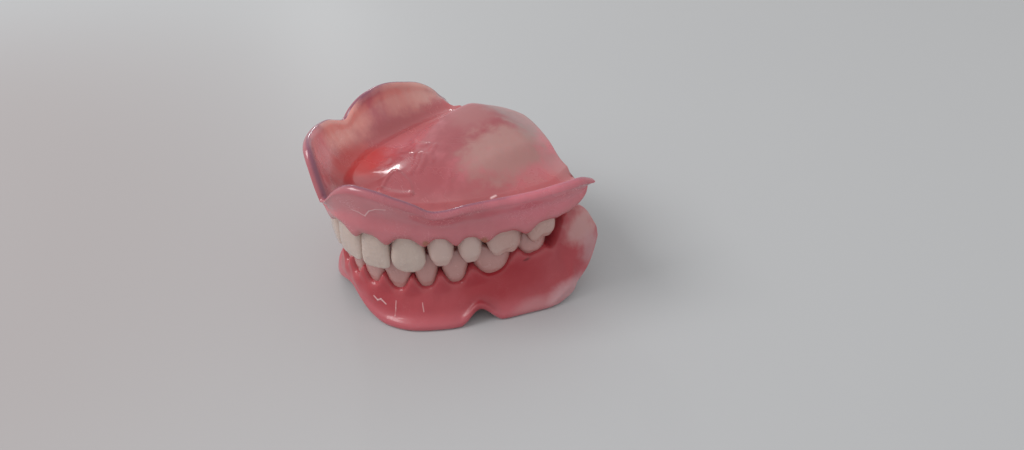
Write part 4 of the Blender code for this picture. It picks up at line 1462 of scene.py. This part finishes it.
class Effects:
    """The shader node groups that the finishes share, each built once."""

    def __init__(self) -> None:
        """Build the groups."""
        self.mottle = self.build_mottle()
        self.wear = self.build_wear()
        self.zone = self.build_zone()
        self.stroke = self.build_stroke()

    @staticmethod
    def start(name: str, inputs: tuple, outputs: tuple) -> tuple[TreeWriter, object]:
        """Start a shader node group.

        Args:
            name: The group's name.
            inputs: Name, socket type and default of each input.
            outputs: Names of the outputs, all numbers.

        Returns:
            The writer of its tree and its input sockets.
        """
        pen = TreeWriter(bpy.data.node_groups.new(name, "ShaderNodeTree"))
        for title, kind, value in inputs:
            pen.input(title, kind, value)
        for title in outputs:
            pen.output(title, "NodeSocketFloat")
        return pen, pen.node("NodeGroupInput").outputs

    def build_mottle(self) -> NodeTree:
        """Build the cloudy depth of cast acrylic: broad clouds with finer ones in them.

        Returns:
            The group.
        """
        pen, given = self.start("acrylic_depth", (
            ("Vector", "NodeSocketVector", None), ("Scale", "NodeSocketFloat", 150.0),
            ("Contrast", "NodeSocketFloat", 1.0)), ("Cloud", "Height"))
        broad = pen.node("ShaderNodeTexNoise", {
            "Vector": given["Vector"], "Scale": given["Scale"], "Detail": 2.0, "Roughness": 0.5})
        finer = pen.product(given["Scale"], 4.3)
        fine = pen.node("ShaderNodeTexNoise", {
            "Vector": given["Vector"], "Scale": finer, "Detail": 3.0, "Roughness": 0.6})
        both = pen.math("ADD", pen.product(broad.outputs[0], 0.7),
                        pen.product(fine.outputs[0], 0.3))
        cloud = pen.product(pen.math("SUBTRACT", both, 0.5), given["Contrast"])
        cloud = pen.math("ADD", cloud, 0.5, clamp=True)
        pen.node("NodeGroupOutput", {"Cloud": cloud, "Height": broad.outputs[0]})
        return pen.tree

    def build_wear(self) -> NodeTree:
        """Build fine wear: patchy hairline scratches and small pits.

        Returns:
            The group.
        """
        pen, given = self.start("fine_wear", (
            ("Vector", "NodeSocketVector", None), ("Scratch Scale", "NodeSocketFloat", 300.0),
            ("Scratch Amount", "NodeSocketFloat", 1.0), ("Pit Scale", "NodeSocketFloat", 1200.0),
            ("Pit Amount", "NodeSocketFloat", 1.0)), ("Scratches", "Pits", "Height"))
        turned = pen.node("ShaderNodeMapping", {
            "Vector": given["Vector"], "Rotation": (0.3, 0.2, 0.9), "Scale": (0.14, 1.0, 1.0)})
        grain = pen.node("ShaderNodeTexNoise", {
            "Vector": turned.outputs[0], "Scale": given["Scratch Scale"], "Detail": 2.0})
        line = pen.math("ABSOLUTE", pen.math("SUBTRACT", grain.outputs[0], 0.5))
        line = pen.math("SUBTRACT", 1.0, pen.product(line, 45.0), clamp=True)
        patch = pen.node("ShaderNodeTexNoise", {"Vector": given["Vector"], "Scale": 160.0, "Detail": 1.0})
        patch = pen.math("MULTIPLY", pen.math("SUBTRACT", patch.outputs[0], 0.48), 6.0, clamp=True)
        scratches = pen.product(line, patch, given["Scratch Amount"])
        cells = pen.node("ShaderNodeTexVoronoi", {
            "Vector": given["Vector"], "Scale": given["Pit Scale"], "Randomness": 1.0})
        pits = pen.math("SUBTRACT", 1.0, pen.product(cells.outputs["Distance"], 3.2), clamp=True)
        pits = pen.product(pits, given["Pit Amount"])
        height = pen.product(pen.math("ADD", scratches, pits), -1.0)
        pen.node("NodeGroupOutput", {"Scratches": scratches, "Pits": pits, "Height": height})
        return pen.tree

    def build_zone(self) -> NodeTree:
        """Build a soft patch round a point, with an uneven edge.

        Returns:
            The group.
        """
        pen, given = self.start("soft_zone", (
            ("Vector", "NodeSocketVector", None), ("Centre", "NodeSocketVector", (0.0, 0.0, 0.0)),
            ("Radii", "NodeSocketVector", (0.01, 0.01, 0.01)), ("Breakup", "NodeSocketFloat", 0.3)),
            ("Mask",))
        away = pen.vectors("SUBTRACT", {0: given["Vector"], 1: given["Centre"]})[0]
        share = pen.vectors("DIVIDE", {0: away, 1: given["Radii"]})[0]
        size = pen.vectors("LENGTH", {0: share})["Value"]
        noise = pen.node("ShaderNodeTexNoise", {"Vector": given["Vector"], "Scale": 320.0, "Detail": 3.0})
        uneven = pen.product(pen.math("SUBTRACT", noise.outputs[0], 0.5), given["Breakup"], 2.0)
        uneven = pen.math("ADD", size, uneven)
        mask = pen.node("ShaderNodeMapRange", {
            "Value": uneven, "From Min": 0.35, "From Max": 1.0, "To Min": 1.0, "To Max": 0.0},
            interpolation_type="SMOOTHSTEP")
        pen.node("NodeGroupOutput", {"Mask": mask.outputs[0]})
        return pen.tree

    def build_stroke(self) -> NodeTree:
        """Build a mark drawn between two points, with a slight wobble.

        Returns:
            The group.
        """
        pen, given = self.start("drawn_stroke", (
            ("Vector", "NodeSocketVector", None), ("Start", "NodeSocketVector", (0.0, 0.0, 0.0)),
            ("End", "NodeSocketVector", (0.001, 0.0, 0.0)), ("Width", "NodeSocketFloat", 0.0003),
            ("Wobble", "NodeSocketFloat", 0.0002)), ("Mask",))
        noise = pen.node("ShaderNodeTexNoise", {"Vector": given["Vector"], "Scale": 700.0, "Detail": 1.0})
        shift = pen.vectors("SUBTRACT", {0: noise.outputs["Color"], 1: (0.5, 0.5, 0.5)})[0]
        moved = pen.vectors("SCALE", {0: shift, "Scale": given["Wobble"]})[0]
        spot = pen.vectors("ADD", {0: given["Vector"], 1: moved})[0]
        reach = pen.vectors("SUBTRACT", {0: spot, 1: given["Start"]})[0]
        line = pen.vectors("SUBTRACT", {0: given["End"], 1: given["Start"]})[0]
        top = pen.vectors("DOT_PRODUCT", {0: reach, 1: line})["Value"]
        base = pen.vectors("DOT_PRODUCT", {0: line, 1: line})["Value"]
        share = pen.math("DIVIDE", top, base, clamp=True)
        foot = pen.vectors("SCALE", {0: line, "Scale": share})[0]
        gap = pen.vectors("DISTANCE", {0: reach, 1: foot})["Value"]
        mask = pen.node("ShaderNodeMapRange", {
            "Value": gap, "From Min": 0.0, "From Max": given["Width"], "To Min": 1.0, "To Max": 0.0},
            interpolation_type="SMOOTHSTEP")
        pen.node("NodeGroupOutput", {"Mask": mask.outputs[0]})
        return pen.tree


class FinishWriter(TreeWriter):
    """Writes one finish: its colour layers, its roughness and its relief."""

    def __init__(self, name: str, effects: Effects) -> None:
        """Start a material with the piece's own coordinates.

        Args:
            name: The material's name.
            effects: The shared node groups.
        """
        self.material = bpy.data.materials.new(name)
        self.material.use_nodes = True
        super().__init__(self.material.node_tree)
        self.effects = effects
        self.shader = self.tree.nodes["Principled BSDF"]
        self.vector = self.node("ShaderNodeTexCoord").outputs["Object"]

    def group(self, tree: NodeTree, **values: object) -> dict[str, Socket]:
        """Place a shared group on the piece's coordinates.

        Args:
            tree: The group.
            values: Its other inputs by name, with _ for a space.

        Returns:
            Its outputs by name.
        """
        inputs = {name.replace("_", " "): value for name, value in values.items()}
        placed = self.node("ShaderNodeGroup", node_tree=tree)
        self.tree.links.new(self.vector, placed.inputs["Vector"])
        for name, value in inputs.items():
            placed.inputs[name].default_value = value
        return placed.outputs

    def blend(self, first: Colour | Socket, second: Colour | Socket, mask: Socket,
              strength: float = 1.0) -> Socket:
        """Mix two colours by a mask.

        Args:
            first: The colour where the mask is 0.
            second: The colour where it is 1.
            mask: The mask.
            strength: How much of the second colour the mask lets through.

        Returns:
            The mixed colour.
        """
        mixed = self.node("ShaderNodeMix", data_type="RGBA", clamp_factor=True)
        self.tree.links.new(self.product(mask, strength), mixed.inputs[0])
        for socket, colour in ((mixed.inputs[6], first), (mixed.inputs[7], second)):
            if isinstance(colour, Socket):
                self.tree.links.new(colour, socket)
            else:
                socket.default_value = (*colour, 1.0)
        return mixed.outputs[2]

    def attribute(self, name: str) -> Socket:
        """Return the value of one of the mesh's attributes."""
        return self.node("ShaderNodeAttribute", attribute_name=name).outputs["Fac"]

    def near(self, value: Socket, reach: float, soft: float) -> Socket:
        """Return a mask that is 1 up to reach and fades to 0 over soft."""
        return self.node("ShaderNodeMapRange", {
            "Value": value, "From Min": reach, "From Max": reach + soft, "To Min": 1.0, "To Max": 0.0},
            interpolation_type="SMOOTHSTEP").outputs[0]

    def layers(self, colour: Socket, ways: tuple[WayTint, ...],
               zones: tuple[ZoneTint, ...]) -> tuple[Socket, Socket | None]:
        """Lay tints over a colour.

        Args:
            colour: The colour below.
            ways: Tints along lines of the piece.
            zones: Tints round points.

        Returns:
            The colour, and the roughness that the zones add.
        """
        for tint in ways:
            mask = self.near(self.attribute(tint.attribute), tint.reach, tint.soft)
            colour = self.blend(colour, tint.colour, mask, tint.strength)
        rough = None
        for zone in zones:
            mask = self.group(self.effects.zone, Centre=millimetres(*zone.centre),
                              Radii=millimetres(*zone.radii), Breakup=zone.breakup)["Mask"]
            if zone.only_on:
                mask = self.product(mask, self.attribute(zone.only_on))
            colour = self.blend(colour, zone.colour, mask, zone.strength)
            if zone.roughness:
                added = self.product(mask, zone.roughness)
                rough = added if rough is None else self.math("ADD", rough, added)
        return colour, rough

    def marks(self, colour: Socket, strokes: tuple[Stroke, ...]) -> tuple[Socket, Socket | None]:
        """Draw strokes.

        Args:
            colour: The colour below.
            strokes: The strokes.

        Returns:
            The colour, and the relief of the strokes in millimetres.
        """
        relief = None
        for stroke in strokes:
            mask = self.group(self.effects.stroke, Start=millimetres(*stroke.start),
                              End=millimetres(*stroke.end), Width=stroke.width * MM)["Mask"]
            if stroke.colour:
                colour = self.blend(colour, stroke.colour, mask, stroke.strength)
            raised = self.product(mask, stroke.height)
            relief = raised if relief is None else self.math("ADD", relief, raised)
        return colour, relief

    def total(self, *parts: Socket | None) -> Socket:
        """Add sockets up.

        Args:
            parts: The sockets, of which those that are missing are left out.

        Returns:
            The socket with the sum.
        """
        kept = [part for part in parts if part is not None]
        whole = kept[0]
        for part in kept[1:]:
            whole = self.math("ADD", whole, part)
        return whole

    def bump(self, relief: Socket) -> None:
        """Feed a relief in millimetres to the shader's normal."""
        made = self.node("ShaderNodeBump", {"Strength": 1.0, "Distance": MM, "Height": relief})
        self.tree.links.new(made.outputs[0], self.shader.inputs["Normal"])

    def set(self, **values: object) -> None:
        """Set constants on the shader's own sockets."""
        for name, value in values.items():
            self.shader.inputs[name.replace("_", " ")].default_value = value


@dataclass(frozen=True)
class AcrylicFinish:
    """Pink translucent denture acrylic, glossy, with the marks of one plate and its painted glints, light
    and shade.
    """

    name: str
    light: Colour
    deep: Colour
    cloud_scale: float
    ways: tuple[WayTint, ...]
    zones: tuple[ZoneTint, ...]
    strokes: tuple[Stroke, ...]
    roughness: float = 0.20
    coat: float = 0.55
    glow: float = 0.18
    scratch: Colour = screen(214, 168, 168)
    scratch_strength: float = 0.10
    cloud_roughness: float = 0.10
    scratch_roughness: float = 0.12
    scratch_relief: float = 0.004
    worn_relief: float = 8.0
    wave_relief: float = 0.10
    coat_loss: float = 2.2

    def build(self, effects: Effects) -> Material:
        """Build the material.

        Args:
            effects: The shared node groups.

        Returns:
            The material.
        """
        pen = FinishWriter(self.name, effects)
        depth = pen.group(effects.mottle, Scale=self.cloud_scale, Contrast=1.5)
        wear = pen.group(effects.wear, Scratch_Scale=900.0, Scratch_Amount=0.6,
                         Pit_Scale=1500.0, Pit_Amount=0.3)
        colour = pen.blend(self.deep, self.light, depth["Cloud"])
        colour, rough = pen.layers(colour, self.ways, self.zones)
        colour, relief = pen.marks(colour, self.strokes)
        colour = pen.blend(colour, self.scratch, wear["Scratches"], self.scratch_strength)
        pen.tree.links.new(colour, pen.shader.inputs["Base Color"])
        cloudy = pen.product(depth["Cloud"], self.cloud_roughness)
        cloudy = pen.math("ADD", cloudy, self.roughness)
        scratched = pen.product(wear["Scratches"], self.scratch_roughness)
        pen.tree.links.new(pen.total(cloudy, scratched, rough), pen.shader.inputs["Roughness"])
        fine = pen.product(wear["Height"], self.scratch_relief)
        worn = pen.math("ADD", pen.product(rough, self.worn_relief), 1.0)
        fine = pen.product(fine, worn)
        waves = pen.product(depth["Height"], self.wave_relief)
        pen.bump(pen.total(fine, waves, relief))
        lost = pen.product(rough, self.coat_loss)
        coat = pen.math("SUBTRACT", self.coat, lost, clamp=True)
        pen.tree.links.new(coat, pen.shader.inputs["Coat Weight"])
        pen.set(Coat_Roughness=0.07, IOR=1.49, Subsurface_Weight=self.glow,
                Subsurface_Radius=(1.0, 0.35, 0.30), Subsurface_Scale=2.6 * MM)
        return pen.material


@dataclass(frozen=True)
class ToothFinish:
    """Tooth-coloured acrylic: warm at the neck, milky in the body and greyish at the edge."""

    name: str
    body: Colour
    neck: Colour
    edge: Colour
    zones: tuple[ZoneTint, ...]
    roughness: float = 0.20
    cloud_roughness: float = 0.12
    lightening: float = 1.07
    neck_strength: float = 0.90
    edge_strength: float = 0.7
    side_strength: float = 0.45
    ring_pitch: float = 75.0
    ring_relief: float = 0.004
    lump_relief: float = 0.24
    scratch_relief: float = 0.005

    def build(self, effects: Effects) -> Material:
        """Build the material.

        Args:
            effects: The shared node groups.

        Returns:
            The material.
        """
        pen = FinishWriter(self.name, effects)
        depth = pen.group(effects.mottle, Scale=260.0, Contrast=1.2)
        wear = pen.group(effects.wear, Scratch_Scale=1400.0, Scratch_Amount=0.5,
                         Pit_Scale=2200.0, Pit_Amount=0.3)
        level = pen.attribute("crown_level")
        pale = tuple(min(1.0, part * self.lightening) for part in self.body)
        colour = pen.blend(self.body, pale, depth["Cloud"])
        colour = pen.blend(colour, self.neck, pen.near(level, -0.05, 0.60), self.neck_strength)
        tip = pen.math("SUBTRACT", 1.0, pen.near(level, 0.70, 0.30))
        colour = pen.blend(colour, self.edge, tip, self.edge_strength)
        side = pen.math("SUBTRACT", 1.0, pen.near(pen.attribute("crown_side"), 0.86, 0.14))
        colour = pen.blend(colour, self.neck, side, self.side_strength)
        colour, rough = pen.layers(colour, (), self.zones)
        pen.tree.links.new(colour, pen.shader.inputs["Base Color"])
        cloudy = pen.product(depth["Cloud"], self.cloud_roughness)
        cloudy = pen.math("ADD", cloudy, self.roughness)
        pen.tree.links.new(pen.total(cloudy, rough), pen.shader.inputs["Roughness"])
        rings = pen.math("SINE", pen.product(level, self.ring_pitch))
        rings = pen.product(rings, self.ring_relief)
        lumps = pen.group(effects.mottle, Scale=620.0, Contrast=1.0)["Height"]
        lumps = pen.product(lumps, self.lump_relief)
        fine = pen.product(wear["Height"], self.scratch_relief)
        pen.bump(pen.total(rings, lumps, fine))
        pen.set(Coat_Weight=0.6, Coat_Roughness=0.06, IOR=1.49, Subsurface_Weight=0.15,
                Subsurface_Radius=(1.0, 0.8, 0.6), Subsurface_Scale=1.2 * MM)
        return pen.material


STAIN = screen(150, 92, 52)
# Pale colour that the strokes paint where the acrylic shows glints: painted highlights.
PAINTED_GLINT = screen(240, 204, 204)
CRAZING = screen(148, 72, 80)
UPPER_ACRYLIC = AcrylicFinish(
    name="upper_acrylic", light=screen(208, 124, 132), deep=screen(194, 105, 113), cloud_scale=110.0,
    ways=(
        # Deeper red towards the ridge trough: painted shade in the recess.
        WayTint("trough_way", 1.5, 7.0, screen(172, 74, 76), 0.70),
        WayTint("gum_way", 0.4, 2.2, screen(174, 88, 88), 0.55),
        WayTint("border_way", 1.0, 2.4, screen(160, 84, 96), 0.65),
        WayTint("border_way", 0.2, 0.8, screen(120, 70, 96), 0.70),
    ),
    zones=(
        # Lighter, warmer patches on the inner side of the flanges: painted light, standing in for light
        # that passes through the thin acrylic.
        ZoneTint((-21.0, -14.0, 36.6), (12.0, 15.0, 8.0), screen(244, 174, 162), 0.85, 0.3, 0.0,
                 "tissue_side"),
        ZoneTint((-12.5, -23.0, 37.0), (8.0, 6.0, 8.0), screen(236, 152, 156), 0.75, 0.25, 0.0,
                 "tissue_side"),
        ZoneTint((-29.0, 9.0, 36.5), (8.0, 17.0, 8.0), screen(226, 158, 146), 0.75, 0.35, 0.0,
                 "tissue_side"),
        ZoneTint((-30.0, 16.0, 34.5), (6.0, 10.0, 6.0), screen(228, 178, 168), 0.60, 0.3, 0.0,
                 "tissue_side"),
        # A lighter patch on the outer side of the left flange: painted light.
        ZoneTint((30.0, 12.0, 32.0), (7.0, 19.0, 8.0), screen(226, 124, 138), 0.55, 0.3),
        ZoneTint((3.0, -6.0, 31.5), (19.0, 16.0, 6.0), screen(162, 67, 75), 0.85, 0.25),
        ZoneTint((0.0, 13.0, 36.5), (20.0, 22.0, 9.0), screen(153, 74, 80), 0.90, 0.3, 0.24),
        ZoneTint((-5.0, 15.5, 37.6), (9.5, 9.0, 5.0), screen(168, 112, 112), 0.70, 0.3, 0.10),
        ZoneTint((17.0, 4.0, 30.5), (8.0, 12.0, 5.0), screen(164, 84, 88), 0.70, 0.3, 0.12),
        # The deep red of the shaded ridge trough and the front slope of the palate: painted shade.
        ZoneTint((-3.8, -17.0, 31.2), (11.0, 8.4, 5.0), screen(156, 46, 52), 0.85, 0.25, 0.16,
                 "tissue_side"),
        ZoneTint((-12.0, -15.2, 29.9), (12.0, 13.0, 5.0), screen(204, 60, 58), 0.85, 0.25, 0.0,
                 "tissue_side"),
        ZoneTint((12.0, 14.0, 35.0), (12.5, 15.0, 8.0), screen(178, 138, 132), 0.80, 0.5, 0.20),
        ZoneTint((-3.0, 26.0, 36.5), (22.0, 8.5, 8.0), screen(176, 158, 156), 0.65, 0.3, 0.10),
        ZoneTint((20.0, 25.0, 31.0), (8.0, 5.0, 4.0), screen(172, 128, 128), 0.60, 0.3, 0.10),
        ZoneTint((21.2, -13.9, 25.2), (1.2, 1.2, 1.5), STAIN, 0.75),
        ZoneTint((26.3, -1.5, 23.8), (1.1, 1.3, 1.6), STAIN, 0.80),
    ),
    strokes=(
        # Pale glints painted on the left flange, outside and inside: painted highlights over a small
        # raised relief.
        *strokes_along(((10.3, -25.8, 33.7), (11.9, -24.9, 33.4), (13.1, -23.9, 32.6)),
                       0.26, 0.04, PAINTED_GLINT, 0.50),
        *strokes_along(((13.1, -23.9, 32.6), (14.5, -23.3, 34.5), (16.0, -22.4, 35.4),
                        (18.1, -21.0, 35.8)), 0.26, 0.04, PAINTED_GLINT, 0.65),
        Stroke((20.2, 4.6, 29.6), (20.1, 5.8, 29.7), 0.55, 0.10, PAINTED_GLINT, 0.9),
        Stroke((0.5, 6.9, 35.7), (4.7, 10.2, 36.5), 0.20, -0.04, CRAZING, 0.5),
        Stroke((-0.5, 8.2, 36.2), (3.2, 11.6, 36.9), 0.16, -0.03, CRAZING, 0.4),
        Stroke((1.4, 5.4, 35.2), (6.2, 9.4, 36.1), 0.16, -0.03, CRAZING, 0.4),
    ))
LOWER_ACRYLIC = AcrylicFinish(
    name="lower_acrylic", light=screen(187, 71, 80), deep=screen(164, 49, 58), cloud_scale=130.0,
    ways=(
        WayTint("border_way", 0.5, 6.0, screen(192, 100, 110), 0.75),
        WayTint("gum_way", 0.3, 1.8, screen(182, 74, 80), 0.60),
        WayTint("border_way", 0.1, 0.7, screen(160, 100, 114), 0.45),
    ),
    zones=(
        *(zone for patch in (
            # A deep red band on each side under the overhanging teeth: painted shade.
            ZoneTint((25.5, 3.0, 9.5), (7.0, 17.0, 7.0), screen(166, 23, 38), 0.85, 0.2),
            # A dark red patch in each buccal notch: painted shade, with added roughness.
            ZoneTint((24.6, -3.0, 3.4), (4.5, 6.0, 4.2), screen(156, 50, 58), 0.80, 0.2, 0.12),
            ZoneTint((31.5, 9.0, 1.6), (4.0, 9.5, 3.2), screen(192, 130, 134), 0.65, 0.2),
            ZoneTint((33.8, 20.0, 3.4), (3.8, 13.0, 4.8), screen(198, 154, 158), 0.85, 0.3),
            ZoneTint((28.6, 24.6, 17.5), (5.0, 6.5, 6.5), screen(198, 154, 152), 0.85, 0.40, 0.05),
            ZoneTint((30.8, 26.5, 12.0), (4.5, 5.5, 6.5), screen(192, 146, 150), 0.70, 0.4),
        ) for zone in on_both_sides(patch)),
        ZoneTint((26.6, 9.6, 13.0), (0.9, 1.5, 0.50), screen(112, 14, 20), 0.85, 0.25),
    ),
    roughness=0.27, coat=0.32,
    strokes=(
        # Pale glints painted on the front lobe of the lower plate: painted highlights over a small raised
        # relief.
        *strokes_along(((9.5, -23.9, 6.5), (10.4, -23.5, 5.6), (11.0, -22.9, 6.0),
                        (12.3, -22.3, 5.0)), 0.32, 0.06, PAINTED_GLINT, 0.70),
        *strokes_along(((14.2, -20.3, 6.3), (14.6, -20.8, 4.6), (15.1, -21.6, 2.8)),
                       0.26, 0.05, PAINTED_GLINT, 0.45),
        Stroke((18.4, -15.4, 6.1), (19.3, -15.7, 4.1), 0.24, 0.05, PAINTED_GLINT, 0.50),
        *strokes_along(((28.6, 18.3, 12.2), (29.9, 20.7, 9.9), (31.1, 23.3, 8.2)),
                       0.24, -0.06, screen(104, 28, 36), 0.80),
        *strokes_along(((29.6, 22.4, 13.0), (30.6, 24.6, 11.0)), 0.20, -0.04, screen(150, 84, 90), 0.60),
    ))
FRONT_TOOTH = ToothFinish(
    name="front_tooth", body=screen(208, 199, 188), neck=screen(190, 154, 144),
    edge=screen(200, 196, 192), zones=(
        ZoneTint((21.4, -14.0, 25.0), (1.1, 1.1, 1.5), STAIN, 0.6),))
BACK_TOOTH = ToothFinish(
    name="back_tooth", body=screen(218, 200, 192), neck=screen(186, 142, 132),
    edge=screen(204, 194, 188), zones=(
        ZoneTint((28.5, 9.0, 22.0), (7.0, 13.0, 9.0), screen(190, 146, 138), 0.70, 0.2),
        ZoneTint((-28.5, 9.0, 22.0), (7.0, 13.0, 9.0), screen(190, 146, 138), 0.70, 0.2),
        ZoneTint((21.8, -13.2, 25.2), (1.1, 1.1, 1.5), STAIN, 0.6),
        ZoneTint((26.3, -1.5, 23.2), (1.0, 1.3, 1.8), STAIN, 0.7)))
LOWER_TOOTH = ToothFinish(
    name="lower_tooth", body=screen(198, 160, 154), neck=screen(186, 122, 118),
    edge=screen(200, 176, 170), zones=(
        ZoneTint((23.5, -3.5, 12.5), (1.2, 1.4, 2.0), STAIN, 0.3),))


@dataclass(frozen=True)
class FloorFinish:
    """The pale, slightly glossy surface under the set, open to a view from below."""

    light: Colour = screen(192, 193, 194)
    dark: Colour = screen(187, 188, 190)
    # A broad darker patch on the floor in front of the set, to the wearer's right: painted shade.
    zones: tuple[ZoneTint, ...] = (
        ZoneTint((-105.0, -175.0, 0.0), (250.0, 250.0, 80.0), screen(174, 167, 167), 0.85, 0.0),)
    roughness: float = 0.42
    cloud_roughness: float = 0.06

    def build(self, effects: Effects) -> Material:
        """Build the material, which shows nothing from behind.

        Args:
            effects: The shared node groups.

        Returns:
            The material.
        """
        pen = FinishWriter("floor_gloss", effects)
        depth = pen.group(effects.mottle, Scale=3.0, Contrast=1.0)
        colour, _ = pen.layers(pen.blend(self.dark, self.light, depth["Cloud"]), (), self.zones)
        pen.tree.links.new(colour, pen.shader.inputs["Base Color"])
        rough = pen.product(depth["Cloud"], self.cloud_roughness)
        rough = pen.math("ADD", rough, self.roughness)
        pen.tree.links.new(rough, pen.shader.inputs["Roughness"])
        pen.set(Specular_IOR_Level=0.22)
        clear = pen.node("ShaderNodeBsdfTransparent")
        behind = pen.node("ShaderNodeNewGeometry").outputs["Backfacing"]
        mixed = pen.node("ShaderNodeMixShader", {
            0: behind, 1: pen.shader.outputs[0], 2: clear.outputs[0]})
        end = next(node for node in pen.tree.nodes if node.type == "OUTPUT_MATERIAL")
        pen.tree.links.new(mixed.outputs[0], end.inputs["Surface"])
        return pen.material


@dataclass(frozen=True)
class Lamp:
    """A square lamp that faces the set, in metres and watts."""

    name: str
    place: Spot
    size: float
    power: float


@dataclass
class Studio:
    """The floor, the lamps and the camera."""

    floor: Material
    floor_size: float = 4.0
    sky: float = 0.66
    lamps: tuple[Lamp, ...] = (
        Lamp("key", (-0.26, -0.58, 0.72), 0.45, 3.9),
        Lamp("far_window", (-0.532, 0.163, 0.222), 0.045, 0.12))
    lamp_target: Spot = (0.0, 0.0, 20.0 * MM)
    azimuth: float = 57.594
    elevation: float = 36.449
    roll: float = -2.411
    eye: Spot = (150.911 * MM, -73.010 * MM, 133.781 * MM)
    focal_length: float = 27.802
    sensor_width: float = 36.0
    clip: tuple[float, float] = (5.0 * MM, 10.0)

    def build(self) -> None:
        """Build everything that isn't part of the object."""
        self.build_floor()
        self.build_lamps()
        self.build_camera()

    def build_floor(self) -> None:
        """Lay the pale glossy floor."""
        half = self.floor_size / 2.0
        corners = [(-half, -half, 0), (half, -half, 0), (half, half, 0), (-half, half, 0)]
        mesh = bpy.data.meshes.new("floor")
        mesh.from_pydata(corners, [], [(0, 1, 2, 3)])
        mesh.materials.append(self.floor)
        new_piece("floor", mesh)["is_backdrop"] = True

    def build_lamps(self) -> None:
        """Light the set softly from above and before it, with one small lamp for the glints."""
        world = bpy.data.worlds.new("studio")
        bpy.context.scene.world = world
        world.use_nodes = True
        world.node_tree.nodes["Background"].inputs["Color"].default_value = (1.0, 1.0, 1.0, 1.0)
        world.node_tree.nodes["Background"].inputs["Strength"].default_value = self.sky
        for lamp in self.lamps:
            light = bpy.data.lights.new(lamp.name, "AREA")
            light.size = lamp.size
            light.energy = lamp.power
            thing = bpy.data.objects.new(lamp.name, light)
            thing.location = lamp.place
            away = Vector(lamp.place) - Vector(self.lamp_target)
            thing.rotation_euler = away.to_track_quat("Z", "Y").to_euler()
            bpy.context.scene.collection.objects.link(thing)

    def build_camera(self) -> None:
        """Set the camera where the photograph was taken from."""
        azimuth, elevation, roll = (
            math.radians(angle) for angle in (self.azimuth, self.elevation, self.roll))
        back = Vector((math.sin(azimuth) * math.cos(elevation),
                       -math.cos(azimuth) * math.cos(elevation), math.sin(elevation)))
        right = Vector((math.cos(azimuth), math.sin(azimuth), 0.0))
        up = back.cross(right)
        rolled_right = right * math.cos(roll) + up * math.sin(roll)
        rolled_up = up * math.cos(roll) - right * math.sin(roll)
        lens = bpy.data.cameras.new("photo_camera")
        lens.sensor_fit = "HORIZONTAL"
        lens.sensor_width = self.sensor_width
        lens.lens = self.focal_length
        lens.clip_start, lens.clip_end = self.clip
        camera = bpy.data.objects.new("photo_camera", lens)
        turn = Matrix((rolled_right, rolled_up, back)).transposed().to_4x4()
        camera.matrix_world = Matrix.Translation(self.eye) @ turn
        bpy.context.scene.collection.objects.link(camera)
        bpy.context.scene.camera = camera


def main() -> None:
    """Build the set, dress it, and set up the studio."""
    logging.basicConfig(level=logging.INFO, format="%(name)s: %(message)s")
    low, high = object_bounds()
    cad_box = [list(low), list(high)]
    scene = bpy.context.scene
    scene.view_settings.view_transform = "Standard"
    effects = Effects()
    finishes = {
        "upper_base": UPPER_ACRYLIC, "lower_base": LOWER_ACRYLIC,
        "upper_front_tooth": FRONT_TOOTH, "upper_back_tooth": BACK_TOOTH,
        "lower_front_tooth": LOWER_TOOTH, "floor": FloorFinish()}
    materials = {name: finish.build(effects) for name, finish in finishes.items()}
    materials["lower_back_tooth"] = materials["lower_front_tooth"]
    bite = Bite(Arch())
    upper_row = ToothRow(
        Jaw.UPPER, bite.arch, bite, widths=millimetres(8.8, 7.8, 8.7, 7.2, 6.8, 10.2, 9.3),
        depths=millimetres(6.8, 6.2, 7.6, 8.6, 8.8, 10.4, 10.0),
        crowns=millimetres(9.6, 8.4, 8.0, 7.4, 6.7, 6.1, 4.8))
    lower_row = ToothRow(
        Jaw.LOWER, Arch(inset=2.4 * MM), bite, widths=millimetres(5.4, 6.0, 7.2, 6.8, 7.6, 11.4, 9.4),
        depths=millimetres(5.5, 5.8, 7.0, 7.4, 8.0, 9.8, 9.6),
        crowns=millimetres(8.6, 8.9, 9.6, 9.1, 8.6, 7.9, 6.0))
    trees = {kind: CrownTree(kind).build() for kind in ToothKind}
    upper_base = UpperPlate(upper_row).build(materials["upper_base"])
    finish_piece(upper_base, "upper_base")
    lower_base = LowerPlate(lower_row).build(materials["lower_base"])
    finish_piece(lower_base, "lower_base")
    teeth = upper_row.build(trees, materials) + lower_row.build(trees, materials)
    for piece in [upper_base, lower_base] + teeth:
        keep_inside(piece, cad_box)
    Studio(materials["floor"]).build()
    low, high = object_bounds()


if __name__ == "__main__":
    main()
